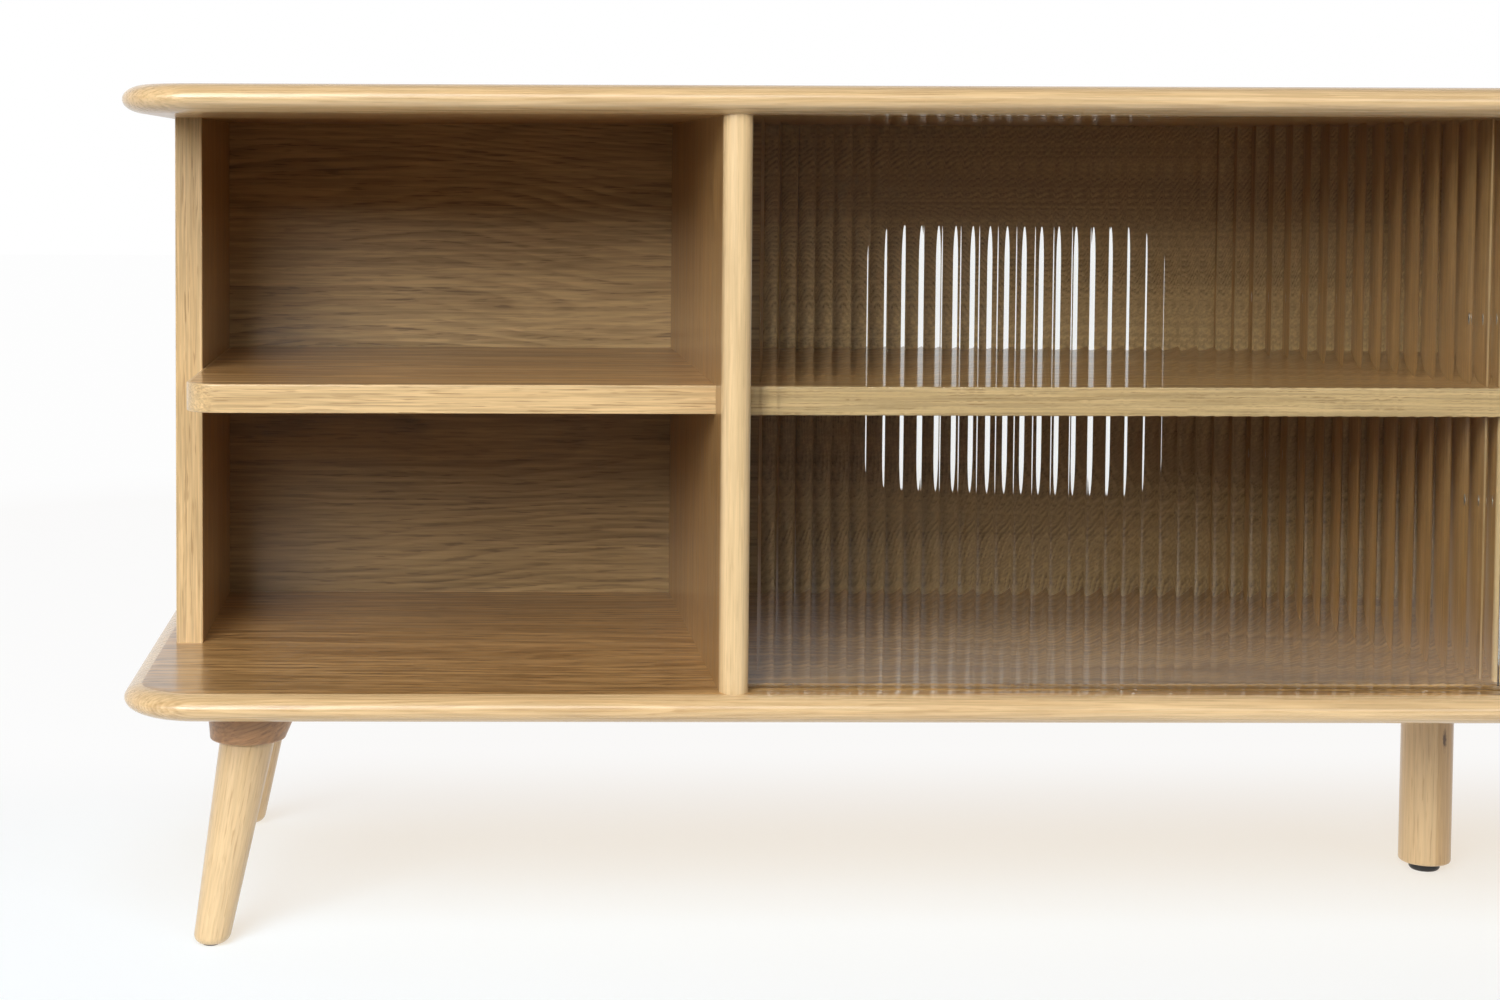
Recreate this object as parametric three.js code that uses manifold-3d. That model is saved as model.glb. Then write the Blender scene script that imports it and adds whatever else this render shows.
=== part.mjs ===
// Media cabinet in oak: two long round-edged boards joined by uprights, an open bay with a shelf at each
// end, two bays behind sliding fluted-glass doors in the middle, four raked legs and one upright leg at
// mid-length.
//
// Millimetres. +X runs along the cabinet to the right, +Y to the back and +Z up. The origin is on the floor,
// under the middle of the boards.

import * as THREE from "three";
import { mergeVertices } from "three/addons/utils/BufferGeometryUtils.js";
import Module from "manifold-3d";

const wasm = await Module();
wasm.setup();

// ---- Boards and uprights ----
const BOARD_THICK = 18; // top and bottom boards
const BOARD_DEPTH = 400; // front to back
const BOARD_CORNER = 48; // plan radius of the boards' corners
const BOARD_EDGE_LAND = 0.2; // flat left halfway up a board's round edge
const UPRIGHT_THICK = 18; // side panels, dividers and centre partition
const INNER_HEIGHT = 352.8; // between the two boards
const OPEN_BAY = 331.5; // clear width of each end bay
const GLASS_BAY = 475; // clear width of each bay behind glass
const END_OVERHANG = 18.5; // boards past the side panels
const REAR_OVERHANG = 10; // boards past the uprights at the back
const SIDE_SETBACK = 173; // board front to side panel front
const DIVIDER_SETBACK = 10; // board front to divider front
const PARTITION_SETBACK = 49; // board front to centre partition front
const UPRIGHT_FRONT_ROUND = 4; // vertical edges at the front of a divider or the partition
const SIDE_FRONT_ROUND = 0.8; // the same on a side panel

// ---- Back panels ----
const BACK_THICK = 9;
const BACK_RECESS = 2; // uprights' rear edge to back panel
const RABBET_WIDTH = 6; // how far a back panel laps onto each upright
const BACK_GAP = 0.3; // at each upright edge of a back panel and ahead of it
const SLOT_WIDTH = 60; // cable slot behind each glass bay
const SLOT_HEIGHT = 202;

// ---- Shelves ----
const SHELF_THICK = 18;
const SHELF_EDGE_ROUND = 0.8;
const OPEN_SHELF_SETBACK = 51; // board front to shelf front
const OPEN_SHELF_CORNER = 22; // plan radius of its free front corner
const GLASS_SHELF_SETBACK = 46;
const SHELF_END_GAP = 1.6; // each end of a shelf that rests on supports, over the metal's thickness
const SHELF_BACK_GAP = 0.5;

// ---- Dowels in the ends of the open shelves ----
const DOWEL_RADIUS = 4;
const DOWEL_IN_SHELF = 18;
const DOWEL_IN_UPRIGHT = 11;
const DOWEL_FROM_SIDE_FRONT = 45; // front dowel behind the side panel's front edge
const DOWEL_FROM_BACK = 45; // rear dowel ahead of the back panel
const HOLE_GAP = 0.3; // round every dowel, peg and bolt, and at its end

// ---- Angled supports under the glass-bay shelves, and the rows of holes that they plug into ----
const SUPPORT_PEG_RADIUS = 2.5;
const PEG_WEB = 1.4; // wood between the two peg holes that meet in the partition
const SUPPORT_WIDTH = 11;
const SUPPORT_LEDGE = 12; // under the shelf
const SUPPORT_RISE = 8; // against the upright
const SUPPORT_METAL = 1.2;
const SUPPORT_CORNER = 1.5; // outside radius of the fold
const PEG_ABOVE_LEDGE = 1.5; // peg's axis above the ledge's upper face
const HOLE_ROW_STEP = 58; // from one shelf height to the next
const HOLE_ROW_FROM_FRONT = 33; // front row behind the shelf's front edge
const HOLE_ROW_FROM_BACK = 60; // rear row ahead of the back panel
const REST_GAP = 0.3; // under a shelf or a door that rests on a separate piece

// ---- Sliding doors and their grooves ----
const TRACK_SETBACK = 25.5; // board front to the middle of the front groove
const TRACK_PITCH = 15.5; // front groove to rear groove
const GLASS_THICK = 5; // over the ridges
const GROOVE_GAP = 0.6; // each side of the glass in its groove
const LOWER_GROOVE_DEPTH = 6;
const UPPER_GROOVE_DEPTH = 11; // deep enough to lift a door out of its lower groove
const UPPER_ENGAGEMENT = 5; // glass inside the upper groove
const RUNNER_THICK = 1.5; // slippery strip in the bottom of each lower groove
const RUNNER_SIDE_GAP = 0.3;
const DOOR_OVERLAP = 16.4; // of the two doors at mid-length
const DOOR_END_GAP = 0.5; // door edge to the divider it closes on
const FLUTE_PITCH = 11.216;
const FLUTE_RADIUS = 11.24; // hollow of each flute
const RIDGE_RADIUS = 2.18; // rounded ridge between two flutes
const GLASS_MARGIN = 4; // least plain strip along a door's vertical edges

// ---- Raked corner legs ----
const LEG_HEIGHT = 150; // floor to the underside of the bottom board
const BLOCK_HEIGHT = 24; // cone between the board and the leg
const BLOCK_TOP_RADIUS = 30.3;
const BLOCK_FOOT_RADIUS = 24.3;
const BLOCK_EDGE_ROUND = 2;
const BLOCK_INSET = 74.5; // leg axis from each board edge, at the block's lower face
const LEG_SPLAY = 21.6; // outward in X and in Y from the block's lower face to the floor
const LEG_TOP_RADIUS = 17.5;
const LEG_FOOT_RADIUS = 11.7;
const LEG_EDGE_ROUND = 6;
const PAD_RADIUS = 5;
const PAD_THICK = 1;
const LEG_BOLT_RADIUS = 4;
const LEG_BOLT_IN_LEG = 40;
const LEG_BOLT_IN_BOARD = 10;

// ---- Upright leg at mid-length ----
const MID_LEG_X = 15.3; // beside the line of screws that holds the partition
const MID_LEG_Y = 25; // behind the middle of the boards
const MID_LEG_RADIUS = 17.4;
const MID_LEG_EDGE_ROUND = 2.5;
const GLIDE_RADIUS = 10.4;
const GLIDE_THICK = 5.9;
const GLIDE_EDGE_ROUND = 3.2;
const GLIDE_STEM_RADIUS = 4;
const GLIDE_STEM = 22;

// ---- Fineness of round surfaces ----
const ROUND_SIDES = 32;
const SMALL_SIDES = 12;
const CORNER_STEPS = 8;
const EDGE_STEPS = 5;
const FLUTE_STEPS = 5;
const RIDGE_STEPS = 2;

// ---- Cutting ----
const OVERRUN = 1; // how far a cutter runs past the face it opens
const TRIM = 3; // cut off a round-edged shelf where it meets another piece squarely

// ---- Places that follow from the dimensions ----
const FRONT = -BOARD_DEPTH / 2;
const BOARD_LENGTH = 2 * (END_OVERHANG + 2 * UPRIGHT_THICK + OPEN_BAY + GLASS_BAY) + UPRIGHT_THICK;
const FLOOR_OF_BAYS = LEG_HEIGHT + BOARD_THICK;
const ROOF_OF_BAYS = FLOOR_OF_BAYS + INNER_HEIGHT;
const UPRIGHT_REAR = BOARD_DEPTH / 2 - REAR_OVERHANG;
const BACK_FACE = UPRIGHT_REAR - BACK_RECESS - BACK_THICK; // front face of the back panels
const SHELF_Z = FLOOR_OF_BAYS + (INNER_HEIGHT - SHELF_THICK) / 2; // underside of every shelf
const PARTITION_FACE = UPRIGHT_THICK / 2;
const DIVIDER_INNER = PARTITION_FACE + GLASS_BAY; // face that the glass door closes on
const DIVIDER_OUTER = DIVIDER_INNER + UPRIGHT_THICK;
const SIDE_INNER = DIVIDER_OUTER + OPEN_BAY;
const SIDE_OUTER = SIDE_INNER + UPRIGHT_THICK;
const BOARD_EDGE_ROUND = (BOARD_THICK - BOARD_EDGE_LAND) / 2;
const SUPPORT_PEG = (UPRIGHT_THICK - PEG_WEB) / 2 - HOLE_GAP;
const GROOVE_WIDTH = GLASS_THICK + 2 * GROOVE_GAP;
const QUARTER_TURN = Math.PI / 2;
const FLUTE_ANGLE = Math.asin(FLUTE_PITCH / 2 / (FLUTE_RADIUS + RIDGE_RADIUS));

// ---- Finishes ----
const OAK = new THREE.MeshStandardMaterial({ color: 0xd2ad7a, roughness: 0.5, metalness: 0 });
const OAK_VENEER = new THREE.MeshStandardMaterial({ color: 0xbd9662, roughness: 0.55, metalness: 0 });
const LEG_OAK = new THREE.MeshStandardMaterial({ color: 0xd6b480, roughness: 0.5, metalness: 0 });
const BROWN_WOOD = new THREE.MeshStandardMaterial({ color: 0x9c7750, roughness: 0.55, metalness: 0 });
const BEECH = new THREE.MeshStandardMaterial({ color: 0xcfae82, roughness: 0.7, metalness: 0 });
const STEEL = new THREE.MeshStandardMaterial({ color: 0xb4b6b8, roughness: 0.35, metalness: 1 });
const BLACK_PLASTIC = new THREE.MeshStandardMaterial({ color: 0x1c1c1c, roughness: 0.45, metalness: 0 });
const GLASS = new THREE.MeshStandardMaterial({
  color: 0xe8f0ec,
  roughness: 0.05,
  metalness: 0,
  transparent: true,
  opacity: 0.35,
});

// ---- Joining and cutting ----

// A closed three.js geometry as a solid that can be joined and cut.
function solidOf(geometry) {
  const bare = geometry.index ? geometry.toNonIndexed() : geometry.clone();
  bare.deleteAttribute("normal");
  bare.deleteAttribute("uv");
  const merged = mergeVertices(bare, 1e-4);
  const vertProperties = merged.attributes.position.array;
  const triVerts = new Uint32Array(merged.index.array);
  return new wasm.Manifold(new wasm.Mesh({ numProp: 3, vertProperties, triVerts }));
}

// A solid back as flat-shaded geometry.
function geometryOf(solid) {
  const { vertProperties, triVerts } = solid.getMesh();
  const geometry = new THREE.BufferGeometry();
  geometry.setAttribute("position", new THREE.BufferAttribute(vertProperties, 3));
  geometry.setIndex(new THREE.BufferAttribute(triVerts, 1));
  const flat = geometry.toNonIndexed();
  flat.computeVertexNormals();
  return flat;
}

// The body less each of the cutters.
function cut(body, cutters) {
  let solid = solidOf(body);
  for (const cutter of cutters) solid = solid.subtract(solidOf(cutter));
  return geometryOf(solid);
}

// ---- Basic forms ----

// A box between two corners.
function block(x0, x1, y0, y1, z0, z1) {
  const box = new THREE.BoxGeometry(x1 - x0, y1 - y0, z1 - z0);
  return box.translate((x0 + x1) / 2, (y0 + y1) / 2, (z0 + z1) / 2);
}

// A plan outline raised from z0 to z1.
function raise(outline, z0, z1) {
  const shape = new THREE.ExtrudeGeometry(outline, {
    depth: z1 - z0,
    bevelEnabled: false,
    curveSegments: CORNER_STEPS / 2,
  });
  return shape.translate(0, 0, z0);
}

// The same with its upper and lower edges rounded.
function raiseRounded(outline, z0, z1, round, steps) {
  const shape = new THREE.ExtrudeGeometry(outline, {
    depth: z1 - z0 - 2 * round,
    bevelEnabled: true,
    bevelThickness: round,
    bevelSize: round,
    bevelOffset: -round,
    bevelSegments: steps,
    curveSegments: CORNER_STEPS / 2,
  });
  return shape.translate(0, 0, z0 + round);
}

// A turned form standing on the Z axis. The profile is a list of [radius, height] from the bottom to the top.
function turn(profile, sides) {
  const points = profile.map(([radius, height]) => new THREE.Vector2(radius, height));
  return new THREE.LatheGeometry(points, sides).rotateX(QUARTER_TURN);
}

// Profile points of a round lower edge about the centre [radius, height].
function roundEdge(centre, round, steps) {
  return Array.from({ length: steps + 1 }, (_, i) => {
    const angle = ((i - steps) * QUARTER_TURN) / steps;
    return [centre[0] + round * Math.cos(angle), centre[1] + round * Math.sin(angle)];
  });
}

// A rod along Z from z0 to z1.
function rod(radius, z0, z1, sides) {
  return new THREE.CylinderGeometry(radius, radius, z1 - z0, sides)
    .rotateX(QUARTER_TURN)
    .translate(0, 0, (z0 + z1) / 2);
}

// A round bar of the given radius along X between x0 and x1.
function barAlongX(radius, x0, x1, y, z) {
  const bar = new THREE.CylinderGeometry(radius, radius, Math.abs(x1 - x0), SMALL_SIDES);
  return bar.rotateZ(QUARTER_TURN).translate((x0 + x1) / 2, y, z);
}

// A rectangle between two corners whose four corner radii may differ, in the order
// front left, front right, rear right, rear left.
function roundedRectangle(x0, x1, y0, y1, [fl, fr, rr, rl]) {
  const outline = new THREE.Shape();
  outline.moveTo(x0 + fl, y0);
  outline.lineTo(x1 - fr, y0);
  if (fr > 0) outline.absarc(x1 - fr, y0 + fr, fr, -QUARTER_TURN, 0, false);
  outline.lineTo(x1, y1 - rr);
  if (rr > 0) outline.absarc(x1 - rr, y1 - rr, rr, 0, QUARTER_TURN, false);
  outline.lineTo(x0 + rl, y1);
  if (rl > 0) outline.absarc(x0 + rl, y1 - rl, rl, QUARTER_TURN, Math.PI, false);
  outline.lineTo(x0, y0 + fl);
  if (fl > 0) outline.absarc(x0 + fl, y0 + fl, fl, Math.PI, 3 * QUARTER_TURN, false);
  return outline;
}

// ---- Pieces ----

const cabinet = new THREE.Group();
cabinet.name = "media_cabinet";

// Adds one named piece to a group.
function place(name, geometry, material, group = cabinet) {
  const piece = new THREE.Mesh(geometry, material);
  piece.name = name;
  group.add(piece);
  return piece;
}

// The middle of the front track, 0, or of the rear one, 1.
function trackY(track) {
  return FRONT + TRACK_SETBACK + track * TRACK_PITCH;
}

// The two door grooves, cut from z0 to z1 between the dividers.
function doorGrooves(z0, z1) {
  const half = GROOVE_WIDTH / 2;
  return [0, 1].map((track) =>
    block(-DIVIDER_INNER, DIVIDER_INNER, trackY(track) - half, trackY(track) + half, z0, z1),
  );
}

// The stretch from a to b on one side of the middle, as its lower and upper X.
function spanOf(side, a, b) {
  return side < 0 ? [-b, -a] : [a, b];
}

// A long board with round edges and round plan corners, standing on z0.
function longBoard(z0) {
  const corners = Array(4).fill(BOARD_CORNER);
  const outline = roundedRectangle(-BOARD_LENGTH / 2, BOARD_LENGTH / 2, FRONT, -FRONT, corners);
  return raiseRounded(outline, z0, z0 + BOARD_THICK, BOARD_EDGE_ROUND, EDGE_STEPS);
}

// An upright from x0 to x1. The front corners are rounded, and the rear corner next to each bay
// (left, right) has a rabbet for that bay's back panel.
function upright(x0, x1, setback, round, [rabbetLeft, rabbetRight]) {
  const outline = roundedRectangle(x0, x1, FRONT + setback, UPRIGHT_REAR, [round, round, 0, 0]);
  const rabbet = (a, b) =>
    block(a, b, BACK_FACE, UPRIGHT_REAR + OVERRUN, FLOOR_OF_BAYS - OVERRUN, ROOF_OF_BAYS + OVERRUN);
  const rabbets = [];
  if (rabbetLeft) rabbets.push(rabbet(x0 - OVERRUN, x0 + RABBET_WIDTH));
  if (rabbetRight) rabbets.push(rabbet(x1 - RABBET_WIDTH, x1 + OVERRUN));
  return cut(raise(outline, FLOOR_OF_BAYS, ROOF_OF_BAYS), rabbets);
}

// ---- Legs: places of the four corners ----

// Each corner, with the quarter turns about Z that bring the front left leg there.
const CORNERS = [
  ["front_left", 0],
  ["front_right", 1],
  ["rear_right", 2],
  ["rear_left", 3],
];

// The plan point of a corner leg's axis at the block's lower face.
function cornerPlace(turns) {
  const x = BOARD_LENGTH / 2 - BLOCK_INSET;
  const y = BOARD_DEPTH / 2 - BLOCK_INSET;
  const places = [
    [-x, -y],
    [x, -y],
    [x, y],
    [-x, y],
  ];
  return places[turns];
}

const LEG_DROP = LEG_HEIGHT - BLOCK_HEIGHT; // floor to the block's lower face

// Leans a turned form outward to the front left. Level faces stay level.
function rake(geometry) {
  const lean = LEG_SPLAY / LEG_DROP;
  return geometry.applyMatrix4(new THREE.Matrix4().makeShear(0, 0, 0, 0, lean, lean));
}

// A leg's bolt, or the hole for it when it has a gap round it, measured from the block's lower face.
function legBoltForm(gap) {
  const head = BLOCK_HEIGHT + LEG_BOLT_IN_BOARD + gap;
  return rake(rod(LEG_BOLT_RADIUS + gap, -LEG_BOLT_IN_LEG - gap, head, SMALL_SIDES));
}

// Moves a form from the block's frame to a corner of the cabinet.
function toCorner(geometry, turns) {
  const [x, y] = cornerPlace(turns);
  return geometry.rotateZ(turns * QUARTER_TURN).translate(x, y, LEG_DROP);
}

// A rod or hole on the upright leg's axis.
function midRod(radius, z0, z1) {
  return rod(radius, z0, z1, SMALL_SIDES).translate(MID_LEG_X, MID_LEG_Y, 0);
}

const MID_BOLT_FOOT = LEG_HEIGHT - LEG_BOLT_IN_LEG;
const MID_BOLT_HEAD = LEG_HEIGHT + LEG_BOLT_IN_BOARD;

// ---- Top and bottom boards ----

place(
  "top_board",
  cut(longBoard(ROOF_OF_BAYS), doorGrooves(ROOF_OF_BAYS - OVERRUN, ROOF_OF_BAYS + UPPER_GROOVE_DEPTH)),
  OAK,
);
place(
  "bottom_board",
  cut(longBoard(LEG_HEIGHT), [
    ...doorGrooves(FLOOR_OF_BAYS - LOWER_GROOVE_DEPTH, FLOOR_OF_BAYS + OVERRUN),
    ...CORNERS.map(([, turns]) => toCorner(legBoltForm(HOLE_GAP), turns)),
    midRod(LEG_BOLT_RADIUS + HOLE_GAP, MID_BOLT_FOOT, MID_BOLT_HEAD + HOLE_GAP),
  ]),
  OAK,
);

// ---- Uprights, shelves and back panels ----

// Depths of the dowels and of the hole rows along Y, and their heights.
const DOWEL_Y = [FRONT + SIDE_SETBACK + DOWEL_FROM_SIDE_FRONT, BACK_FACE - DOWEL_FROM_BACK];
const HOLE_Y = [FRONT + GLASS_SHELF_SETBACK + HOLE_ROW_FROM_FRONT, BACK_FACE - HOLE_ROW_FROM_BACK];
const DOWEL_Z = SHELF_Z + SHELF_THICK / 2;
const PEG_Z = SHELF_Z - REST_GAP + PEG_ABOVE_LEDGE;

// Dowel holes into a face at x, going towards sign.
function dowelHoles(x, sign, depth) {
  const start = x - sign * OVERRUN;
  const end = x + sign * (depth + HOLE_GAP);
  return DOWEL_Y.map((y) => barAlongX(DOWEL_RADIUS + HOLE_GAP, start, end, y, DOWEL_Z));
}

// Two rows of peg holes into a face at x, going towards sign. The middle hole of a row takes the support,
// and the ones above and below it are spare.
function pegHoles(x, sign) {
  const start = x - sign * OVERRUN;
  const end = x + sign * (SUPPORT_PEG + HOLE_GAP);
  return HOLE_Y.flatMap((y) =>
    [-1, 0, 1].map((row) =>
      barAlongX(SUPPORT_PEG_RADIUS + HOLE_GAP, start, end, y, PEG_Z + row * HOLE_ROW_STEP),
    ),
  );
}

// The dowels, holes or supports at each end of a shelf, front and rear. The ends are given as the face
// that the shelf meets and the sign that points out of the bay there.
function atShelfEnds(ends, depths, make) {
  for (const [end, x, outward] of ends) {
    depths.forEach((y, i) => make(`${end}_${["front", "rear"][i]}`, x, outward, y));
  }
}

// An open-bay shelf. Its free front corner is round, and it meets the divider and the back squarely.
function openShelf(side) {
  const [x0, x1] = spanOf(side, DIVIDER_OUTER - TRIM, SIDE_INNER);
  const corners = side < 0 ? [OPEN_SHELF_CORNER, 0, 0, 0] : [0, OPEN_SHELF_CORNER, 0, 0];
  const outline = roundedRectangle(x0, x1, FRONT + OPEN_SHELF_SETBACK, BACK_FACE + TRIM, corners);
  const z0 = SHELF_Z - OVERRUN;
  const z1 = SHELF_Z + SHELF_THICK + OVERRUN;
  const [dx0, dx1] = spanOf(side, DIVIDER_OUTER - TRIM - OVERRUN, DIVIDER_OUTER);
  const dividerEnd = block(dx0, dx1, FRONT, -FRONT, z0, z1);
  const rear = block(x0 - OVERRUN, x1 + OVERRUN, BACK_FACE - SHELF_BACK_GAP, -FRONT, z0, z1);
  return cut(raiseRounded(outline, SHELF_Z, SHELF_Z + SHELF_THICK, SHELF_EDGE_ROUND, 2), [
    dividerEnd,
    rear,
    ...dowelHoles(side * SIDE_INNER, -side, DOWEL_IN_SHELF),
    ...dowelHoles(side * DIVIDER_OUTER, side, DOWEL_IN_SHELF),
  ]);
}

// A glass-bay shelf, square at both ends and at the back.
function glassBayShelf(side) {
  const [x0, x1] = spanOf(side, PARTITION_FACE + SHELF_END_GAP, DIVIDER_INNER - SHELF_END_GAP);
  const square = [0, 0, 0, 0];
  const y0 = FRONT + GLASS_SHELF_SETBACK;
  const outline = roundedRectangle(x0 - TRIM, x1 + TRIM, y0, BACK_FACE + TRIM, square);
  const z0 = SHELF_Z - OVERRUN;
  const z1 = SHELF_Z + SHELF_THICK + OVERRUN;
  const past = TRIM + OVERRUN;
  return cut(raiseRounded(outline, SHELF_Z, SHELF_Z + SHELF_THICK, SHELF_EDGE_ROUND, 2), [
    block(x0 - past, x0, FRONT, -FRONT, z0, z1),
    block(x1, x1 + past, FRONT, -FRONT, z0, z1),
    block(x0 - past, x1 + past, BACK_FACE - SHELF_BACK_GAP, -FRONT, z0, z1),
  ]);
}

// A back panel that laps onto the uprights at a and b.
function backPanel(side, a, b) {
  const lap = RABBET_WIDTH - BACK_GAP;
  const [x0, x1] = spanOf(side, a - lap, b + lap);
  const y0 = BACK_FACE + BACK_GAP;
  return block(x0, x1, y0, BACK_FACE + BACK_THICK, FLOOR_OF_BAYS, ROOF_OF_BAYS);
}

// One half of the cabinet: side is -1 on the left and 1 on the right.
function halfCarcass(side, label) {
  const panelSpan = spanOf(side, SIDE_INNER, SIDE_OUTER);
  const panelRabbets = side < 0 ? [false, true] : [true, false];
  const panel = upright(...panelSpan, SIDE_SETBACK, SIDE_FRONT_ROUND, panelRabbets);
  const panelHoles = dowelHoles(side * SIDE_INNER, side, DOWEL_IN_UPRIGHT);
  place(label + "_side_panel", cut(panel, panelHoles), OAK_VENEER);

  const bothRabbets = [true, true];
  const dividerSpan = spanOf(side, DIVIDER_INNER, DIVIDER_OUTER);
  const divider = upright(...dividerSpan, DIVIDER_SETBACK, UPRIGHT_FRONT_ROUND, bothRabbets);
  const dividerHoles = [
    ...dowelHoles(side * DIVIDER_OUTER, -side, DOWEL_IN_UPRIGHT),
    ...pegHoles(side * DIVIDER_INNER, side),
  ];
  place(label + "_divider", cut(divider, dividerHoles), OAK_VENEER);

  place(label + "_open_shelf", openShelf(side), OAK_VENEER);
  const openEnds = [
    ["outer", side * SIDE_INNER, side],
    ["inner", side * DIVIDER_OUTER, -side],
  ];
  atShelfEnds(openEnds, DOWEL_Y, (end, x, outward, y) => {
    const x0 = x - outward * DOWEL_IN_SHELF;
    const x1 = x + outward * DOWEL_IN_UPRIGHT;
    place(`${label}_shelf_dowel_${end}`, barAlongX(DOWEL_RADIUS, x0, x1, y, DOWEL_Z), BEECH);
  });

  place(label + "_glass_bay_shelf", glassBayShelf(side), OAK_VENEER);
  const glassEnds = [
    ["outer", side * DIVIDER_INNER, side],
    ["inner", side * PARTITION_FACE, -side],
  ];
  atShelfEnds(glassEnds, HOLE_Y, (end, x, outward, y) => {
    place(`${label}_shelf_support_${end}`, shelfSupport(x, outward, y), STEEL);
  });

  place(label + "_open_bay_back", backPanel(side, DIVIDER_OUTER, SIDE_INNER), OAK_VENEER);
  const glassBack = backPanel(side, PARTITION_FACE, DIVIDER_INNER);
  place(label + "_glass_bay_back", cut(glassBack, [cableSlot(side)]), OAK_VENEER);
}

// A shelf support against the face at x: a folded strip with a peg. outward points into the upright.
function shelfSupport(x, outward, y) {
  const ledgeTop = -PEG_ABOVE_LEDGE;
  const ledgeFoot = ledgeTop - SUPPORT_METAL;
  const strip = new THREE.Shape();
  strip.moveTo(0, ledgeFoot + SUPPORT_RISE);
  strip.lineTo(0, ledgeFoot + SUPPORT_CORNER);
  strip.absarc(-SUPPORT_CORNER, ledgeFoot + SUPPORT_CORNER, SUPPORT_CORNER, 0, -QUARTER_TURN, true);
  strip.lineTo(-SUPPORT_LEDGE, ledgeFoot);
  strip.lineTo(-SUPPORT_LEDGE, ledgeTop);
  strip.lineTo(-SUPPORT_METAL, ledgeTop);
  strip.lineTo(-SUPPORT_METAL, ledgeFoot + SUPPORT_RISE);
  const fold = new THREE.ExtrudeGeometry(strip, {
    depth: SUPPORT_WIDTH,
    bevelEnabled: false,
    curveSegments: 2,
  });
  fold.translate(0, 0, -SUPPORT_WIDTH / 2).rotateX(QUARTER_TURN);
  const peg = barAlongX(SUPPORT_PEG_RADIUS, -SUPPORT_METAL / 2, SUPPORT_PEG, 0, 0);
  const support = geometryOf(solidOf(fold).add(solidOf(peg)));
  return support.rotateZ(outward > 0 ? 0 : Math.PI).translate(x, y, PEG_Z);
}

// The cable slot with round ends, centred on the bay and on the shelf, run through the back panel.
function cableSlot(side) {
  const round = SLOT_WIDTH / 2;
  const straight = SLOT_HEIGHT / 2 - round;
  const outline = new THREE.Shape();
  outline.absarc(0, straight, round, 0, Math.PI, false);
  outline.absarc(0, -straight, round, Math.PI, 2 * Math.PI, false);
  outline.closePath();
  const slot = new THREE.ExtrudeGeometry(outline, {
    depth: BACK_THICK + 2 * OVERRUN,
    bevelEnabled: false,
    curveSegments: CORNER_STEPS,
  });
  const x = side * (PARTITION_FACE + GLASS_BAY / 2);
  return slot.rotateX(QUARTER_TURN).translate(x, BACK_FACE + BACK_THICK + OVERRUN, DOWEL_Z);
}

place(
  "centre_partition",
  cut(upright(-PARTITION_FACE, PARTITION_FACE, PARTITION_SETBACK, UPRIGHT_FRONT_ROUND, [true, true]), [
    ...pegHoles(-PARTITION_FACE, 1),
    ...pegHoles(PARTITION_FACE, -1),
  ]),
  OAK_VENEER,
);
halfCarcass(-1, "left");
halfCarcass(1, "right");

// ---- Sliding doors ----

const DOOR_WIDTH = DIVIDER_INNER + DOOR_OVERLAP / 2 - DOOR_END_GAP;
const RUNNER_TOP = FLOOR_OF_BAYS - LOWER_GROOVE_DEPTH + RUNNER_THICK;
const DOOR_BOTTOM = RUNNER_TOP + REST_GAP;
const DOOR_TOP = ROOF_OF_BAYS + UPPER_ENGAGEMENT;

// Plan outline of a fluted door, with its flat back on y = 0 and its ridges at y = -GLASS_THICK.
// Each flute is a hollow arc between two ridge arcs that share its tangents.
function flutedOutline() {
  const count = Math.floor((DOOR_WIDTH - 2 * GLASS_MARGIN) / FLUTE_PITCH);
  const margin = (DOOR_WIDTH - count * FLUTE_PITCH) / 2;
  const ridgeY = -GLASS_THICK + RIDGE_RADIUS;
  const fluteY = ridgeY - (FLUTE_RADIUS + RIDGE_RADIUS) * Math.cos(FLUTE_ANGLE);
  const down = -QUARTER_TURN;
  const up = QUARTER_TURN;
  const arc = (x, y, radius, a0, a1, steps) =>
    new THREE.EllipseCurve(x, y, radius, radius, a0, a1, a1 < a0).getPoints(steps);
  const points = [new THREE.Vector2(0, 0), new THREE.Vector2(0, -GLASS_THICK)];
  for (let i = 0; i < count; i++) {
    const x = margin + i * FLUTE_PITCH;
    const middle = x + FLUTE_PITCH / 2;
    const next = x + FLUTE_PITCH;
    const leaving = arc(x, ridgeY, RIDGE_RADIUS, down, down + FLUTE_ANGLE, RIDGE_STEPS);
    const hollow = arc(middle, fluteY, FLUTE_RADIUS, up + FLUTE_ANGLE, up - FLUTE_ANGLE, FLUTE_STEPS);
    const meeting = arc(next, ridgeY, RIDGE_RADIUS, down - FLUTE_ANGLE, down, RIDGE_STEPS);
    points.push(...leaving, ...hollow.slice(1, -1), ...meeting.slice(0, -1));
  }
  points.push(new THREE.Vector2(margin + count * FLUTE_PITCH, -GLASS_THICK));
  points.push(new THREE.Vector2(DOOR_WIDTH, -GLASS_THICK), new THREE.Vector2(DOOR_WIDTH, 0));
  return new THREE.Shape(points);
}

const doorForm = raise(flutedOutline(), DOOR_BOTTOM, DOOR_TOP);
[
  ["left_glass_door", 0, -DIVIDER_INNER + DOOR_END_GAP],
  ["right_glass_door", 1, DIVIDER_INNER - DOOR_END_GAP - DOOR_WIDTH],
].forEach(([name, track, x]) => {
  const door = place(name, doorForm, GLASS);
  door.position.set(x, trackY(track) + GLASS_THICK / 2, 0);
});

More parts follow.
